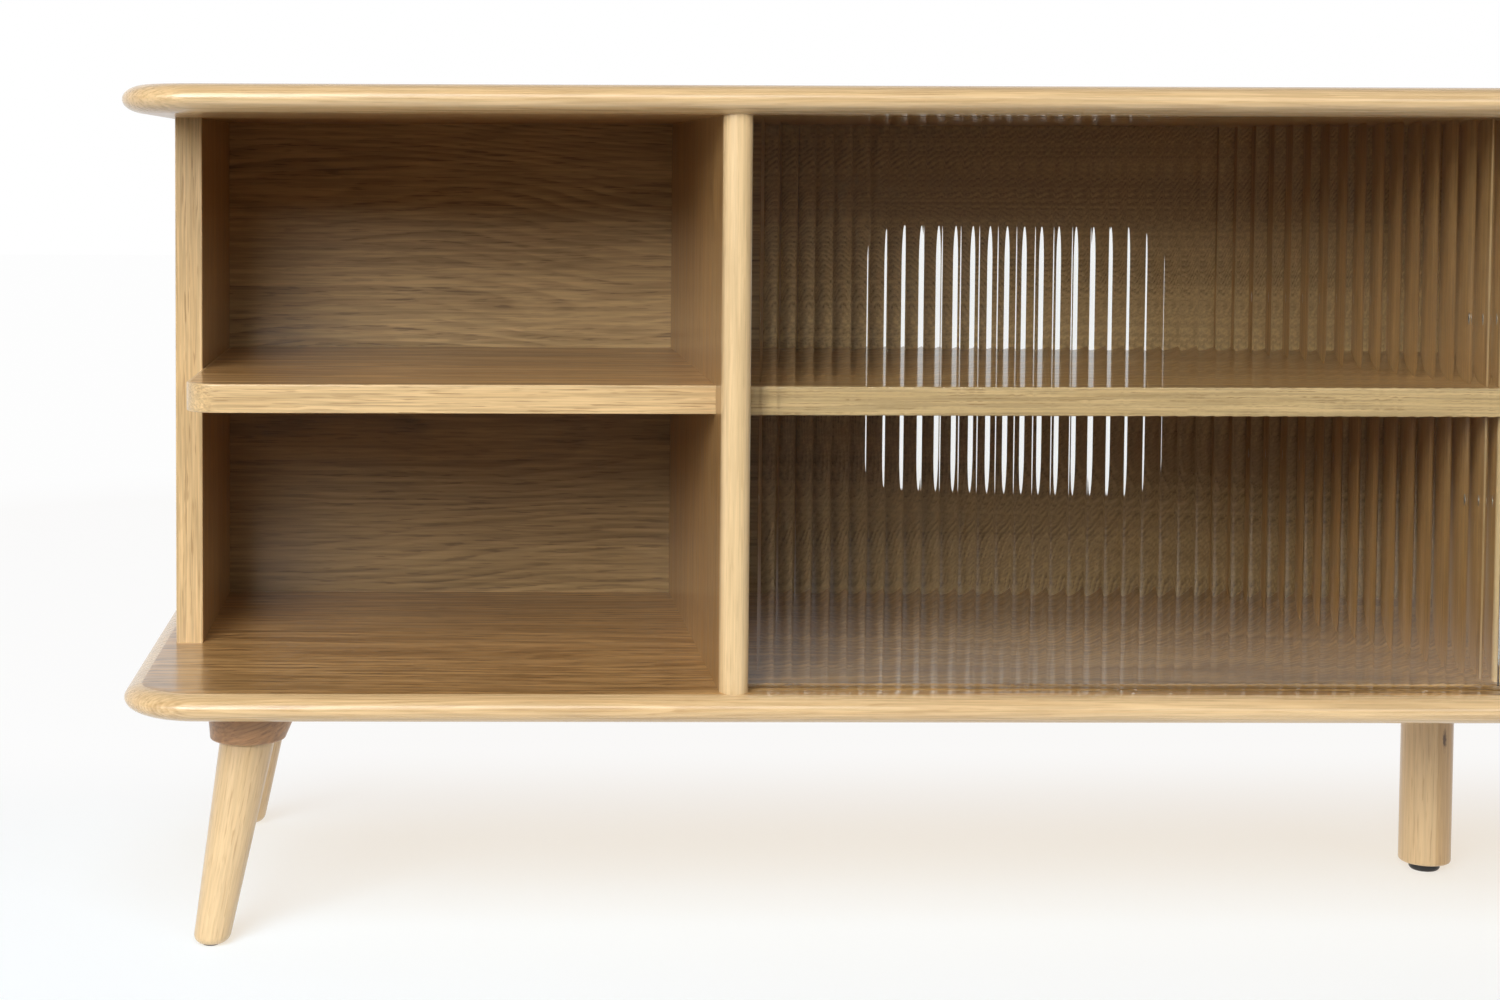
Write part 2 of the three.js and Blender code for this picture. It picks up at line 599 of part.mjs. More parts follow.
// Runner strips in the lower grooves
["front_runner", "rear_runner"].forEach((name, track) => {
  const y = trackY(track);
  const half = GROOVE_WIDTH / 2 - RUNNER_SIDE_GAP;
  const end = DIVIDER_INNER - RUNNER_SIDE_GAP;
  place(name, block(-end, end, y - half, y + half, RUNNER_TOP - RUNNER_THICK, RUNNER_TOP), BLACK_PLASTIC);
});

// ---- Corner legs ----

// The cone over a leg, from its lower face up to the board.
function legBlockForm() {
  const round = BLOCK_EDGE_ROUND;
  const profile = [
    [0, 0],
    ...roundEdge([BLOCK_FOOT_RADIUS - round, round], round, EDGE_STEPS - 2),
    [BLOCK_TOP_RADIUS, BLOCK_HEIGHT],
    [0, BLOCK_HEIGHT],
  ];
  return rake(turn(profile, ROUND_SIDES));
}

// A leg, from its upper face down to its pad.
function legForm() {
  const round = LEG_EDGE_ROUND;
  const foot = PAD_THICK - LEG_DROP;
  const profile = [
    [0, foot],
    ...roundEdge([LEG_FOOT_RADIUS - round, foot + round], round, EDGE_STEPS),
    [LEG_TOP_RADIUS, 0],
    [0, 0],
  ];
  return rake(turn(profile, ROUND_SIDES));
}

// The pad that a leg stands on.
function padForm() {
  return rake(rod(PAD_RADIUS, -LEG_DROP, PAD_THICK - LEG_DROP, SMALL_SIDES));
}

for (const [corner, turns] of CORNERS) {
  const [x, y] = cornerPlace(turns);
  const leg = new THREE.Group();
  leg.position.set(x, y, LEG_DROP);
  leg.rotation.z = turns * QUARTER_TURN;
  cabinet.add(leg);
  const bore = legBoltForm(HOLE_GAP);
  place(corner + "_leg_block", cut(legBlockForm(), [bore]), BROWN_WOOD, leg);
  place(corner + "_leg", cut(legForm(), [bore]), LEG_OAK, leg);
  place(corner + "_leg_bolt", legBoltForm(0), STEEL, leg);
  place(corner + "_foot_pad", padForm(), BLACK_PLASTIC, leg);
}

// ---- Upright leg at mid-length ----

// The leg, from its rounded foot up to the board.
function midLegForm() {
  const round = MID_LEG_EDGE_ROUND;
  const profile = [
    [0, GLIDE_THICK],
    ...roundEdge([MID_LEG_RADIUS - round, GLIDE_THICK + round], round, EDGE_STEPS),
    [MID_LEG_RADIUS, LEG_HEIGHT],
    [0, LEG_HEIGHT],
  ];
  return turn(profile, ROUND_SIDES).translate(MID_LEG_X, MID_LEG_Y, 0);
}

// The glide: a rounded disc on the floor, and a stem up into the leg.
function glideForm() {
  const round = GLIDE_EDGE_ROUND;
  const profile = [
    [0, 0],
    ...roundEdge([GLIDE_RADIUS - round, round], round, EDGE_STEPS),
    [GLIDE_RADIUS, GLIDE_THICK],
    [GLIDE_STEM_RADIUS, GLIDE_THICK],
    [GLIDE_STEM_RADIUS, GLIDE_THICK + GLIDE_STEM],
    [0, GLIDE_THICK + GLIDE_STEM],
  ];
  return turn(profile, ROUND_SIDES).translate(MID_LEG_X, MID_LEG_Y, 0);
}

place(
  "centre_leg",
  cut(midLegForm(), [
    midRod(GLIDE_STEM_RADIUS + HOLE_GAP, GLIDE_THICK - OVERRUN, GLIDE_THICK + GLIDE_STEM + HOLE_GAP),
    midRod(LEG_BOLT_RADIUS + HOLE_GAP, MID_BOLT_FOOT - HOLE_GAP, LEG_HEIGHT + OVERRUN),
  ]),
  LEG_OAK,
);
place("centre_leg_bolt", midRod(LEG_BOLT_RADIUS, MID_BOLT_FOOT, MID_BOLT_HEAD), STEEL);

place("centre_leg_glide", glideForm(), BLACK_PLASTIC);

export default cabinet;
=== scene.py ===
"""Looks of the media cabinet: oak boards, uprights, shelves and back panels, two sliding doors of fluted
glass, four raked legs with brown blocks, and one upright leg.

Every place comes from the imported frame. Lengths are in metres. +X runs along the cabinet to the right, +Y to
the back and +Z up, with the origin on the floor under the middle of the boards.
"""

from __future__ import annotations

import logging
import math
from collections.abc import Callable, Sequence
from dataclasses import dataclass, field, replace
from enum import Enum

import bmesh
import bpy
import numpy as np
from mathutils import Matrix, Vector
from mathutils.geometry import tessellate_polygon


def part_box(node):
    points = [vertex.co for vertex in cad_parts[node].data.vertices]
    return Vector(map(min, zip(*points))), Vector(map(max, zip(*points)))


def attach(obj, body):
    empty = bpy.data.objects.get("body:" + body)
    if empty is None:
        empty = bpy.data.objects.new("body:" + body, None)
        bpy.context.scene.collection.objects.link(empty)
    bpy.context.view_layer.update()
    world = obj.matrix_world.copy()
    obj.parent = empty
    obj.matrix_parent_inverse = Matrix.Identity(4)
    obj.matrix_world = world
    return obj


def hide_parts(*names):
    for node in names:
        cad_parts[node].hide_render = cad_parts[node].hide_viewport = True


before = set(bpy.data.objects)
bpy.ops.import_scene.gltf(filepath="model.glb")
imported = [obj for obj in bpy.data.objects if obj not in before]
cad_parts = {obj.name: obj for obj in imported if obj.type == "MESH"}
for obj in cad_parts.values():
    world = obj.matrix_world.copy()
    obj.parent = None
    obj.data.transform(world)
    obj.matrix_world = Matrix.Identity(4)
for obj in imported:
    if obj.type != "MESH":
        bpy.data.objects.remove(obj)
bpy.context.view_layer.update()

LOG = logging.getLogger("media_cabinet")

MM = 0.001
WELD = 1e-6  # points closer than this are one point
SHARP = math.radians(27)  # a fold steeper than this keeps its edge
GRAIN = "grain"  # name of the wood coordinates that a piece carries
SUPPORT = 1 * MM  # a point this far from a round keeps the flat beside it flat in shading
QUARTER = math.pi / 2

Array = np.ndarray
Socket = bpy.types.NodeSocket
Value = Socket | float | tuple
Colour = tuple[float, float, float]
Cells = tuple[float, float, float]  # of noise in a metre, along three axes
Look = tuple[Socket, Socket, Socket]  # colour, relief and roughness


# -------------------- Curves and surfaces


@dataclass(frozen=True)
class Outline:
    """A closed outline, or an open path, with the way inwards at each of its points.

    Attributes:
        points: (N, 3) places along the outline.
        inward: (N, 3) the shift of each point for one metre of inset.
    """

    points: Array
    inward: Array


@dataclass(frozen=True)
class Sides:
    """Which sides of a rectangle have their edges rounded."""

    front: bool = True
    right: bool = True
    rear: bool = True
    left: bool = True


def rounded_rectangle(
    low: Sequence[float],
    high: Sequence[float],
    radii: Sequence[float],
    z: float,
    sides: Sides = Sides(),
    steps: int = 12,
    support: float = 2 * MM,
) -> Outline:
    """A rectangle with a quarter circle at each corner that has a radius.

    A point on the quarter circle at angle a is centre + radius * (cos a, sin a), and its way inwards is
    -(cos a, sin a). A square corner is the one point where two sides meet, and its way inwards is the sum of
    the ways inwards of those of the two sides that are rounded. Where a quarter circle meets a straight side,
    one more point a short way along keeps the side flat in shading.

    Args:
        low: Lowest x and y.
        high: Highest x and y.
        radii: Corner radii: front left, front right, rear right, rear left.
        z: Height of the outline.
        sides: The sides whose edges are rounded.
        steps: Facets in a quarter circle.
        support: Distance of the extra points from the quarter circle.

    Returns:
        The outline, anticlockwise from above, from the front left corner.
    """
    corners = np.array([[low[0], low[1]], [high[0], low[1]], [high[0], high[1]], [low[0], high[1]]], float)
    into = np.array([[0, 1], [-1, 0], [0, -1], [1, 0]], float)  # front, right, rear, left
    rounded = np.array([sides.front, sides.right, sides.rear, sides.left], float)
    quarter = np.linspace(0.0, QUARTER, steps + 1)
    points, inward = [], []
    for i, radius in enumerate(radii):
        before, after = into[i - 1], into[i]
        if radius <= 0:
            points.append(corners[i][None])
            inward.append((before * rounded[i - 1] + after * rounded[i])[None])
            continue
        centre = corners[i] + (before + after) * radius
        angles = quarter + math.pi + QUARTER * i
        away = np.stack([np.cos(angles), np.sin(angles)], axis=1)
        arc = centre + radius * away
        points += [arc[:1] + after * support, arc, arc[-1:] + before * support]
        inward += [-away[:1], -away, -away[-1:]]
    flat, ways = np.concatenate(points), np.concatenate(inward)
    height = np.full((len(flat), 1), z)
    return Outline(np.hstack([flat, height]), np.hstack([ways, np.zeros_like(height)]))


def edge_profile(thick: float, reach: float, rise: float, steps: int, support: float = 1.5 * MM) -> Array:
    """Inset and height along a board's edge with its lower and upper edges rounded.

    Each round is a quarter of an ellipse. On the lower one, at angle a from 0 to a quarter turn, the inset is
    reach * (1 - sin a) and the height is rise * (1 - cos a). The upper one mirrors it. The first and last
    points lie a little further in, on the board's faces, so that the faces stay flat in shading.

    Args:
        thick: The board's thickness.
        reach: How far in from the edge the rounds start.
        rise: The height of each round.
        steps: Facets in each round.
        support: How far in the first and last points lie.

    Returns:
        (T, 2) array of inset and height, from the lower face to the upper one.
    """
    a = np.linspace(0.0, QUARTER, steps + 1)
    low = np.stack([reach * (1 - np.sin(a)), rise * (1 - np.cos(a))], axis=1)
    low = np.vstack([[reach + support, 0.0], low])
    if thick - 2 * rise > 4 * support:
        low = np.vstack([low, [0.0, rise + support]])
    return np.vstack([low, low[::-1] * [1, -1] + [0, thick]])


def carried(outline: Outline, profile: Array) -> Array:
    """The surface that a profile sweeps along an outline: point + inward * inset + up * height.

    Args:
        outline: The path.
        profile: (T, 2) inset and height.

    Returns:
        (N, T, 3) grid of points.
    """
    inset, height = profile[:, 0], profile[:, 1]
    surface = outline.points[:, None] + outline.inward[:, None] * inset[None, :, None]
    surface[..., 2] += height[None]
    return surface


def turned(profile: Array, sides: int = 64) -> Array:
    """The surface of revolution about the Z axis: (radius cos a, radius sin a, height) for a full turn of a.

    Args:
        profile: (T, 2) radius and height.
        sides: Facets round the axis.

    Returns:
        (sides, T, 3) grid of points, closed round the axis.
    """
    a = np.linspace(0.0, 2 * math.pi, sides, endpoint=False)[:, None]
    radius, height = profile[None, :, 0], profile[None, :, 1]
    return np.stack([radius * np.cos(a), radius * np.sin(a), height + 0 * a], axis=-1)


def quarter_round(centre: Sequence[float], radius: float, start: float = -QUARTER, steps: int = 8) -> Array:
    """Profile points centre + radius * (cos a, sin a) for a from start to start plus a quarter turn."""
    a = start + np.linspace(0.0, QUARTER, steps + 1)
    return np.array(centre) + radius * np.stack([np.cos(a), np.sin(a)], axis=1)


def ring(
    centre: Sequence[float], radius: float, across: Sequence[float], up: Sequence[float], sides: int = 24
) -> Array:
    """A circle: centre + radius * (cos a * across + sin a * up)."""
    a = np.linspace(0.0, 2 * math.pi, sides, endpoint=False)[:, None]
    return np.array(centre) + radius * (np.cos(a) * np.array(across) + np.sin(a) * np.array(up))


@dataclass(frozen=True)
class Bore:
    """A round blind hole that opens on a flat face.

    Attributes:
        centre: Middle of its mouth.
        radius: Its radius.
        run: From the mouth's middle to the middle of the hole's end.
        across: First unit direction in the face.
        up: Second unit direction in the face.
    """

    centre: tuple[float, float, float]
    radius: float
    run: tuple[float, float, float]
    across: tuple[float, float, float]
    up: tuple[float, float, float]

    def mouth(self) -> Array:
        """The ring where the hole opens."""
        return ring(self.centre, self.radius, self.across, self.up)

    def wall(self) -> Array:
        """The hole's wall, from its mouth to its end."""
        mouth = self.mouth()
        return np.stack([mouth, mouth + np.array(self.run)], axis=1)


# -------------------- Wood coordinates


class GrainAxis(Enum):
    """The frame axes along the grain, across it in the main face, and into the piece."""

    BOARD = (0, 1, 2)
    UPRIGHT = (2, 1, 0)
    BACK = (0, 2, 1)


@dataclass(frozen=True)
class Grain:
    """Where a piece was cut from its log.

    Attributes:
        axis: How the grain lies.
        heart: The log's centre line, across the piece and into it. Far across gives straight grain, and close
            under the face gives long pointed arches.
        along: Distance along the log, which tells one piece from the next.
    """

    axis: GrainAxis
    heart: tuple[float, float]
    along: float = 0.0

    @classmethod
    def about(cls, axis: GrainAxis, centre: Vector, heart: tuple[float, float], along: float) -> Grain:
        """The grain of a piece whose middle is centre, with the heart given from there."""
        _, across, into = axis.value
        return cls(axis, (centre[across] + heart[0], centre[into] + heart[1]), along)

    def coordinates(self, points: Array) -> Array:
        """Distance along the grain, across it from the heart, and into it from the heart, for each point.

        Args:
            points: (N, 3) places.

        Returns:
            Wood coordinates, one row for each point.
        """
        a, b, c = self.axis.value
        return np.stack(
            [points[:, a] + self.along, points[:, b] - self.heart[0], points[:, c] - self.heart[1]], axis=1
        )


# -------------------- Pieces


@dataclass
class Skin:
    """Surface patches of one piece, gathered as arrays and closed into one mesh."""

    points: list[Array] = field(default_factory=list)
    corners: list[Array] = field(default_factory=list)
    sizes: list[Array] = field(default_factory=list)
    finishes: list[Array] = field(default_factory=list)
    count: int = 0

    def add(self, points: Array, faces: Array, finish: int = 0) -> None:
        """Adds faces over their own points.

        Args:
            points: (N, 3) places.
            faces: (M, 3) or (M, 4) indices into points.
            finish: Index of the piece's finish that the faces take.
        """
        self.points.append(points.reshape(-1, 3))
        self.corners.append((faces + self.count).ravel())
        self.sizes.append(np.full(len(faces), faces.shape[1]))
        self.finishes.append(np.full(len(faces), finish))
        self.count += len(self.points[-1])

    def grid(self, surface: Array, finish: int = 0, closed: bool = False) -> None:
        """Adds a grid of points as quads between neighbours in both directions.

        Args:
            surface: (U, V, 3) points.
            finish: Index of the finish.
            closed: True if the last row in U joins the first.
        """
        rows, columns = surface.shape[:2]
        index = np.arange(rows * columns).reshape(rows, columns)
        if closed:
            index = np.vstack([index, index[:1]])
        quads = np.stack([index[:-1, :-1], index[1:, :-1], index[1:, 1:], index[:-1, 1:]], axis=-1)
        self.add(surface, quads.reshape(-1, 4), finish)

    def flat(self, rings: Sequence[Array], finish: int = 0) -> None:
        """Adds a flat face inside the first ring, with the other rings as holes in it."""
        triangles = np.array(tessellate_polygon([r.tolist() for r in rings]))
        self.add(np.concatenate(rings), triangles, finish)

    def bore(self, hole: Bore, finish: int = 0) -> None:
        """Adds a blind hole's wall and end.

        Args:
            hole: The hole.
            finish: Index of the finish.
        """
        wall = hole.wall()
        self.grid(wall, finish, closed=True)
        self.flat([wall[:, 1]], finish)

    def mesh(self, name: str) -> bpy.types.Mesh:
        """One closed mesh of all the patches, with its faces turned outwards.

        Args:
            name: The mesh's name.

        Returns:
            The mesh, smooth apart from its sharp folds.
        """
        points = np.concatenate(self.points)
        corners, sizes = np.concatenate(self.corners), np.concatenate(self.sizes)
        mesh = bpy.data.meshes.new(name)
        mesh.vertices.add(len(points))
        mesh.vertices.foreach_set("co", points.astype(np.float32).ravel())
        mesh.loops.add(len(corners))
        mesh.loops.foreach_set("vertex_index", corners.astype(np.int32))
        mesh.polygons.add(len(sizes))
        mesh.polygons.foreach_set("loop_start", (np.cumsum(sizes) - sizes).astype(np.int32))
        mesh.polygons.foreach_set("material_index", np.concatenate(self.finishes).astype(np.int32))
        mesh.update(calc_edges=True)
        form = bmesh.new()
        form.from_mesh(mesh)
        bmesh.ops.remove_doubles(form, verts=form.verts, dist=WELD)
        bmesh.ops.dissolve_degenerate(form, dist=WELD / 10, edges=form.edges)
        bmesh.ops.recalc_face_normals(form, faces=form.faces)
        form.to_mesh(mesh)
        form.free()
        mesh.polygons.foreach_set("use_smooth", np.ones(len(mesh.polygons), bool))
        mesh.set_sharp_from_angle(angle=SHARP)
        mesh.update()
        return mesh


def finish_piece(
    name: str,
    skin: Skin,
    materials: Sequence[bpy.types.Material],
    body: str = "root",
    replaces: Sequence[str] = (),
    grain: Callable[[Array], Array] | None = None,
) -> bpy.types.Object:
    """Turns a skin into a piece of the cabinet.

    Args:
        name: The piece's name.
        skin: Its surface.
        materials: Its finishes, in the order of the skin's indices.
        body: The body that it moves with.
        replaces: The frame's nodes that it stands for.
        grain: Gives the wood coordinates of an array of points, for a wooden piece.

    Returns:
        The piece's object.
    """
    mesh = skin.mesh(name)
    for material in materials:
        mesh.materials.append(material)
    if grain is not None:
        places = np.zeros(len(mesh.vertices) * 3, np.float32)
        mesh.vertices.foreach_get("co", places)
        wood = grain(places.reshape(-1, 3).astype(float))
        attribute = mesh.attributes.new(GRAIN, "FLOAT_VECTOR", "POINT")
        attribute.data.foreach_set("vector", wood.astype(np.float32).ravel())
    piece = bpy.data.objects.new(name, mesh)
    bpy.context.scene.collection.objects.link(piece)
    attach(piece, body)
    if replaces:
        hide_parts(*replaces)
    LOG.info("%s: %d faces on %s", name, len(mesh.polygons), body)
    return piece


# -------------------- Finishes


class Shading:
    """Adds shader nodes to one material or world and links them."""

    NOISE_SPAN = (0.3, 0.7)  # nearly all of a noise lies between these

    def __init__(self, owner: bpy.types.Material | bpy.types.World) -> None:
        """Clears the owner's nodes.

        Args:
            owner: The material or world.
        """
        owner.use_nodes = True
        self.tree = owner.node_tree
        self.tree.nodes.clear()

    def node(self, kind: str, **settings: object) -> bpy.types.Node:
        """Adds a node.

        Args:
            kind: Its type, without the leading ShaderNode.
            **settings: Its properties.

        Returns:
            The node.
        """
        made = self.tree.nodes.new("ShaderNode" + kind)
        for key, value in settings.items():
            setattr(made, key, value)
        return made

    def feed(self, socket: Socket, value: Value) -> None:
        """Links value to a socket if it is a socket, and sets it there if it is a number or a tuple.

        Args:
            socket: The socket.
            value: What it gets.
        """
        if isinstance(value, bpy.types.NodeSocket):
            self.tree.links.new(value, socket)
        elif isinstance(value, tuple) and socket.type == "RGBA":
            socket.default_value = (*value, 1.0)
        else:
            socket.default_value = value

    def made(self, kind: str, *values: Value, **settings: object) -> bpy.types.Node:
        """Adds a node and feeds its first sockets in order.

        Args:
            kind: Its type, without the leading ShaderNode.
            *values: What its sockets get.
            **settings: Its properties.

        Returns:
            The node.
        """
        made = self.node(kind, **settings)
        for socket, value in zip(made.inputs, values):
            self.feed(socket, value)
        return made

    def math(self, operation: str, *values: Value) -> Socket:
        """The result of a Math node."""
        return self.made("Math", *values, operation=operation).outputs[0]

    def vector(self, operation: str, *values: Value, output: str = "Vector") -> Socket:
        """The result of a Vector Math node."""
        return self.made("VectorMath", *values, operation=operation).outputs[output]

    def length(self, vector: Value) -> Socket:
        """A vector's length."""
        return self.vector("LENGTH", vector, output="Value")

    def place(self) -> Socket:
        """The place on the piece, in its own coordinates."""
        return self.node("TexCoord").outputs["Object"]

    def apart(self, vector: Socket) -> bpy.types.NodeOutputs:
        """A vector's X, Y and Z."""
        return self.made("SeparateXYZ", vector).outputs

    def noise(self, where: Socket, cells: Cells, detail: float = 2.0, colour: bool = False) -> Socket:
        """Noise at a place.

        Args:
            where: The place.
            cells: Cells in a metre along each axis.
            detail: Finer octaves.
            colour: True for three values about 0.5, False for one.

        Returns:
            The noise.
        """
        made = self.node("TexNoise")
        self.feed(made.inputs["Vector"], self.vector("MULTIPLY", where, cells))
        made.inputs["Scale"].default_value = 1.0
        made.inputs["Detail"].default_value = detail
        return made.outputs["Color" if colour else "Fac"]

    def range(self, value: Value, low: float, high: float, *to: float) -> Socket:
        """A value moved from low..high to 0..1 or to the two given ends, smooth and held at both."""
        numbers = (value, low, high, *(to or (0.0, 1.0)))
        return self.made("MapRange", *numbers, interpolation_type="SMOOTHSTEP").outputs["Result"]

    def spread(self, noise: Socket, to_low: float, to_high: float) -> Socket:
        """A noise moved to to_low..to_high."""
        return self.range(noise, *self.NOISE_SPAN, to_low, to_high)

    def between(self, share: Value, first: Value, second: Value) -> Socket:
        """The number at a share of the way from the first to the second."""
        return self.math("MULTIPLY_ADD", share, self.math("SUBTRACT", second, first), first)

    def mix(self, share: Value, first: Value, second: Value) -> Socket:
        """Two colours mixed.

        Args:
            share: Share of the second.
            first: First colour.
            second: Second colour.

        Returns:
            The mixed colour.
        """
        made = self.node("Mix", data_type="RGBA")
        for index, value in ((0, share), (6, first), (7, second)):
            self.feed(made.inputs[index], value)
        return made.outputs[2]

    def over(self, colour: Value, strength: float, share: Socket, second: Value) -> Socket:
        """A colour with a second one laid over it, as strong as the share times the strength."""
        return self.mix(self.math("MULTIPLY", share, strength), colour, second)

    def bump(self, relief: Socket, strength: float, depth: float) -> Socket:
        """The normal of a surface with a relief.

        Args:
            relief: Height of the relief, in depths.
            strength: How much of it shows.
            depth: Its depth.

        Returns:
            The normal.
        """
        made = self.node("Bump")
        self.feed(made.inputs["Strength"], strength)
        self.feed(made.inputs["Distance"], depth)
        self.feed(made.inputs["Height"], relief)
        return made.outputs["Normal"]

    def principled(self, **values: Value) -> Socket:
        """A Principled shader with its sockets fed. An underscore stands for a space in a socket's name.

        Args:
            **values: What the sockets get.

        Returns:
            The shader.
        """
        made = self.node("BsdfPrincipled")
        for key, value in values.items():
            self.feed(made.inputs[key.replace("_", " ")], value)
        return made.outputs["BSDF"]

    def mix_shaders(self, share: Value, first: Socket, second: Socket) -> Socket:
        """Two shaders mixed."""
        return self.made("MixShader", share, first, second).outputs[0]

    def seen(self) -> Socket:
        """1 for a ray by which the camera sees a thing itself or straight through glass, else 0.

        Returns:
            The number.
        """
        rays = self.node("LightPath").outputs
        turned_away = self.math("ADD", rays["Diffuse Depth"], rays["Glossy Depth"])
        straight = self.math("LESS_THAN", turned_away, 0.5)
        through = self.math("MULTIPLY", rays["Is Transmission Ray"], straight)
        return self.math("MAXIMUM", rays["Is Camera Ray"], through)

    def output(self, shader: Socket, kind: str = "Material") -> None:
        """Links a shader to the owner's surface."""
        self.feed(self.node("Output" + kind).inputs["Surface"], shader)


@dataclass(frozen=True)
class Finish:
    """What a piece is made of.

    Attributes:
        name: The material's name.
    """

    name: str

    def shader(self, s: Shading) -> Socket:
        """The finish's shader, which each kind of finish gives."""
        raise NotImplementedError

    def material(self) -> bpy.types.Material:
        """The finish as a material.

        Returns:
            The material.
        """
        material = bpy.data.materials.new(self.name)
        s = Shading(material)
        s.output(self.shader(s))
        return material


class Lacquered(Finish):
    """Wood under a satin lacquer."""

    RELIEF = 0.35
    RELIEF_DEPTH = 0.12 * MM
    COAT = 0.4
    COAT_ROUGHNESS = 0.14

    def look(self, s: Shading) -> Look:
        """The wood's colour, relief and roughness, which each kind of wood gives."""
        raise NotImplementedError

    def shader(self, s: Shading) -> Socket:
        """The wood's look under its lacquer.

        Args:
            s: The material's nodes.

        Returns:
            The shader.
        """
        colour, relief, rough = self.look(s)
        return s.principled(
            Base_Color=colour,
            Roughness=rough,
            Normal=s.bump(relief, self.RELIEF, self.RELIEF_DEPTH),
            Coat_Weight=self.COAT,
            Coat_Roughness=self.COAT_ROUGHNESS,
        )


@dataclass(frozen=True)
class Wood(Lacquered):
    """Lacquered wood with growth rings, fibres and pores, drawn in the piece's wood coordinates.

    Attributes:
        light: Colour between the rings.
        dark: Colour of a ring's dark side.
        pore: Colour in a pore.
        tint: Colour that long bands lean to.
        ring_width: From one ring to the next.
        wander: How far the rings stray from straight.
        ring_strength: Share of the dark colour at a ring.
        pore_strength: Share of the pore colour in a pore.
        band_strength: Share of the tint in a band.
        streak_strength: Share of the dark colour in a long narrow streak.
        fibre_strength: How far the fibres lighten and darken the wood.
        fineness: Streaks, fibres and pores in the width of one at 1.
        shift: Moves the figure, so that two finishes on one piece differ.
        roughness: Of the lacquer.
    """

    # Cells of noise in a metre, along the grain and across it
    SLOW_BENDS = (1.7, 6.0)
    WAVES = (9.0, 45.0)
    UNEVEN_RINGS = (2.5, 40.0)
    BANDS = (1.3, 55.0)
    STREAKS = (6.0, 170.0)
    FIBRES = (16.0, 420.0)
    PORES = (50.0, 650.0)

    SLOW_REACH, WAVE_REACH = 4.0, 0.22  # shares of the wander
    RING_RISE, RING_FALL = (0.1, 0.82), (0.84, 1.0)  # where in a ring its dark side comes and ends
    FAINTEST_RING = 0.2
    BAND_SPAN, STREAK_SPAN, PORE_SPAN = (0.35, 0.65), (0.47, 0.62), (0.54, 0.66)
    CROWDED, FEWEST_PORES = 0.7, 0.3  # the ring's dark share where all pores are, and their share outside it
    FIBRE_DARK, FIBRE_LIGHT = 0.2, 0.14
    FIBRE_RELIEF = 0.35
    SMOOTHER, ROUGHER = 0.04, 0.06

    light: Colour
    dark: Colour
    pore: Colour
    tint: Colour
    ring_width: float = 3.2 * MM
    wander: float = 14 * MM
    ring_strength: float = 0.55
    pore_strength: float = 0.6
    band_strength: float = 0.7
    streak_strength: float = 0.3
    fibre_strength: float = 1.0
    fineness: float = 1.0
    shift: tuple[float, float, float] = (0.0, 0.0, 0.0)
    roughness: float = 0.34

    def noise(
        self, s: Shading, where: Socket, cells: tuple[float, float], detail: float, fineness: float = 1.0
    ) -> Socket:
        """Noise drawn out along the grain, with its cells across the grain as fine as asked."""
        along, across = cells
        return s.noise(where, (along, across * fineness, across * fineness), detail)

    def bend(self, s: Shading, wood: Socket) -> Socket:
        """Wood coordinates that stray across the grain, slowly and in short waves.

        Args:
            s: The material's nodes.
            wood: The wood coordinates.

        Returns:
            The strayed coordinates.
        """
        bent = wood
        for (along, across), detail, share in (
            (self.SLOW_BENDS, 1.5, self.SLOW_REACH),
            (self.WAVES, 2.0, self.WAVE_REACH),
        ):
            noise = s.noise(wood, (along, across, across), detail, colour=True)
            reach = share * self.wander
            stray = s.vector("MULTIPLY", s.vector("SUBTRACT", noise, (0.5, 0.5, 0.5)), (0.0, reach, reach))
            bent = s.vector("ADD", bent, stray)
        return bent

    def ring_dark(self, s: Shading, wood: Socket, bent: Socket) -> Socket:
        """How dark the growth ring is at a place.

        The distance from the heart is counted in ring widths. Within each ring the dark side rises slowly and
        ends at once, and slow noise makes some stretches fainter.

        Args:
            s: The material's nodes.
            wood: The wood coordinates.
            bent: The strayed wood coordinates.

        Returns:
            A share from 0 to 1.
        """
        radius = s.length(s.vector("MULTIPLY", bent, (0.0, 1.0, 1.0)))
        turn = s.math("FRACT", s.math("DIVIDE", radius, self.ring_width))
        dark = s.math("MULTIPLY", s.range(turn, *self.RING_RISE), s.range(turn, *self.RING_FALL, 1.0, 0.0))
        uneven = s.spread(self.noise(s, wood, self.UNEVEN_RINGS, 2.0), self.FAINTEST_RING, 1.0)
        return s.math("MULTIPLY", dark, uneven)

    def look(self, s: Shading) -> Look:
        """The wood's colour, relief and roughness.

        Noise drawn out along the grain gives bands, its peaks give streaks, finer noise gives the fibres, and
        the peaks of the finest give the pores, which crowd on the rings' dark side.

        Args:
            s: The material's nodes.

        Returns:
            The three sockets.
        """
        source = s.node("Attribute", attribute_name=GRAIN)
        wood = s.made("Mapping", source.outputs["Vector"], self.shift).outputs["Vector"]
        bent = self.bend(s, wood)
        ring_dark = self.ring_dark(s, wood, bent)
        band = s.range(self.noise(s, bent, self.BANDS, 3.0), *self.BAND_SPAN)
        streak = s.range(self.noise(s, bent, self.STREAKS, 3.0, self.fineness), *self.STREAK_SPAN)
        fibre = self.noise(s, wood, self.FIBRES, 3.0, self.fineness)
        pores = s.range(self.noise(s, wood, self.PORES, 1.5, self.fineness), *self.PORE_SPAN)
        pores = s.math("MULTIPLY", pores, s.range(ring_dark, 0.0, self.CROWDED, self.FEWEST_PORES, 1.0))

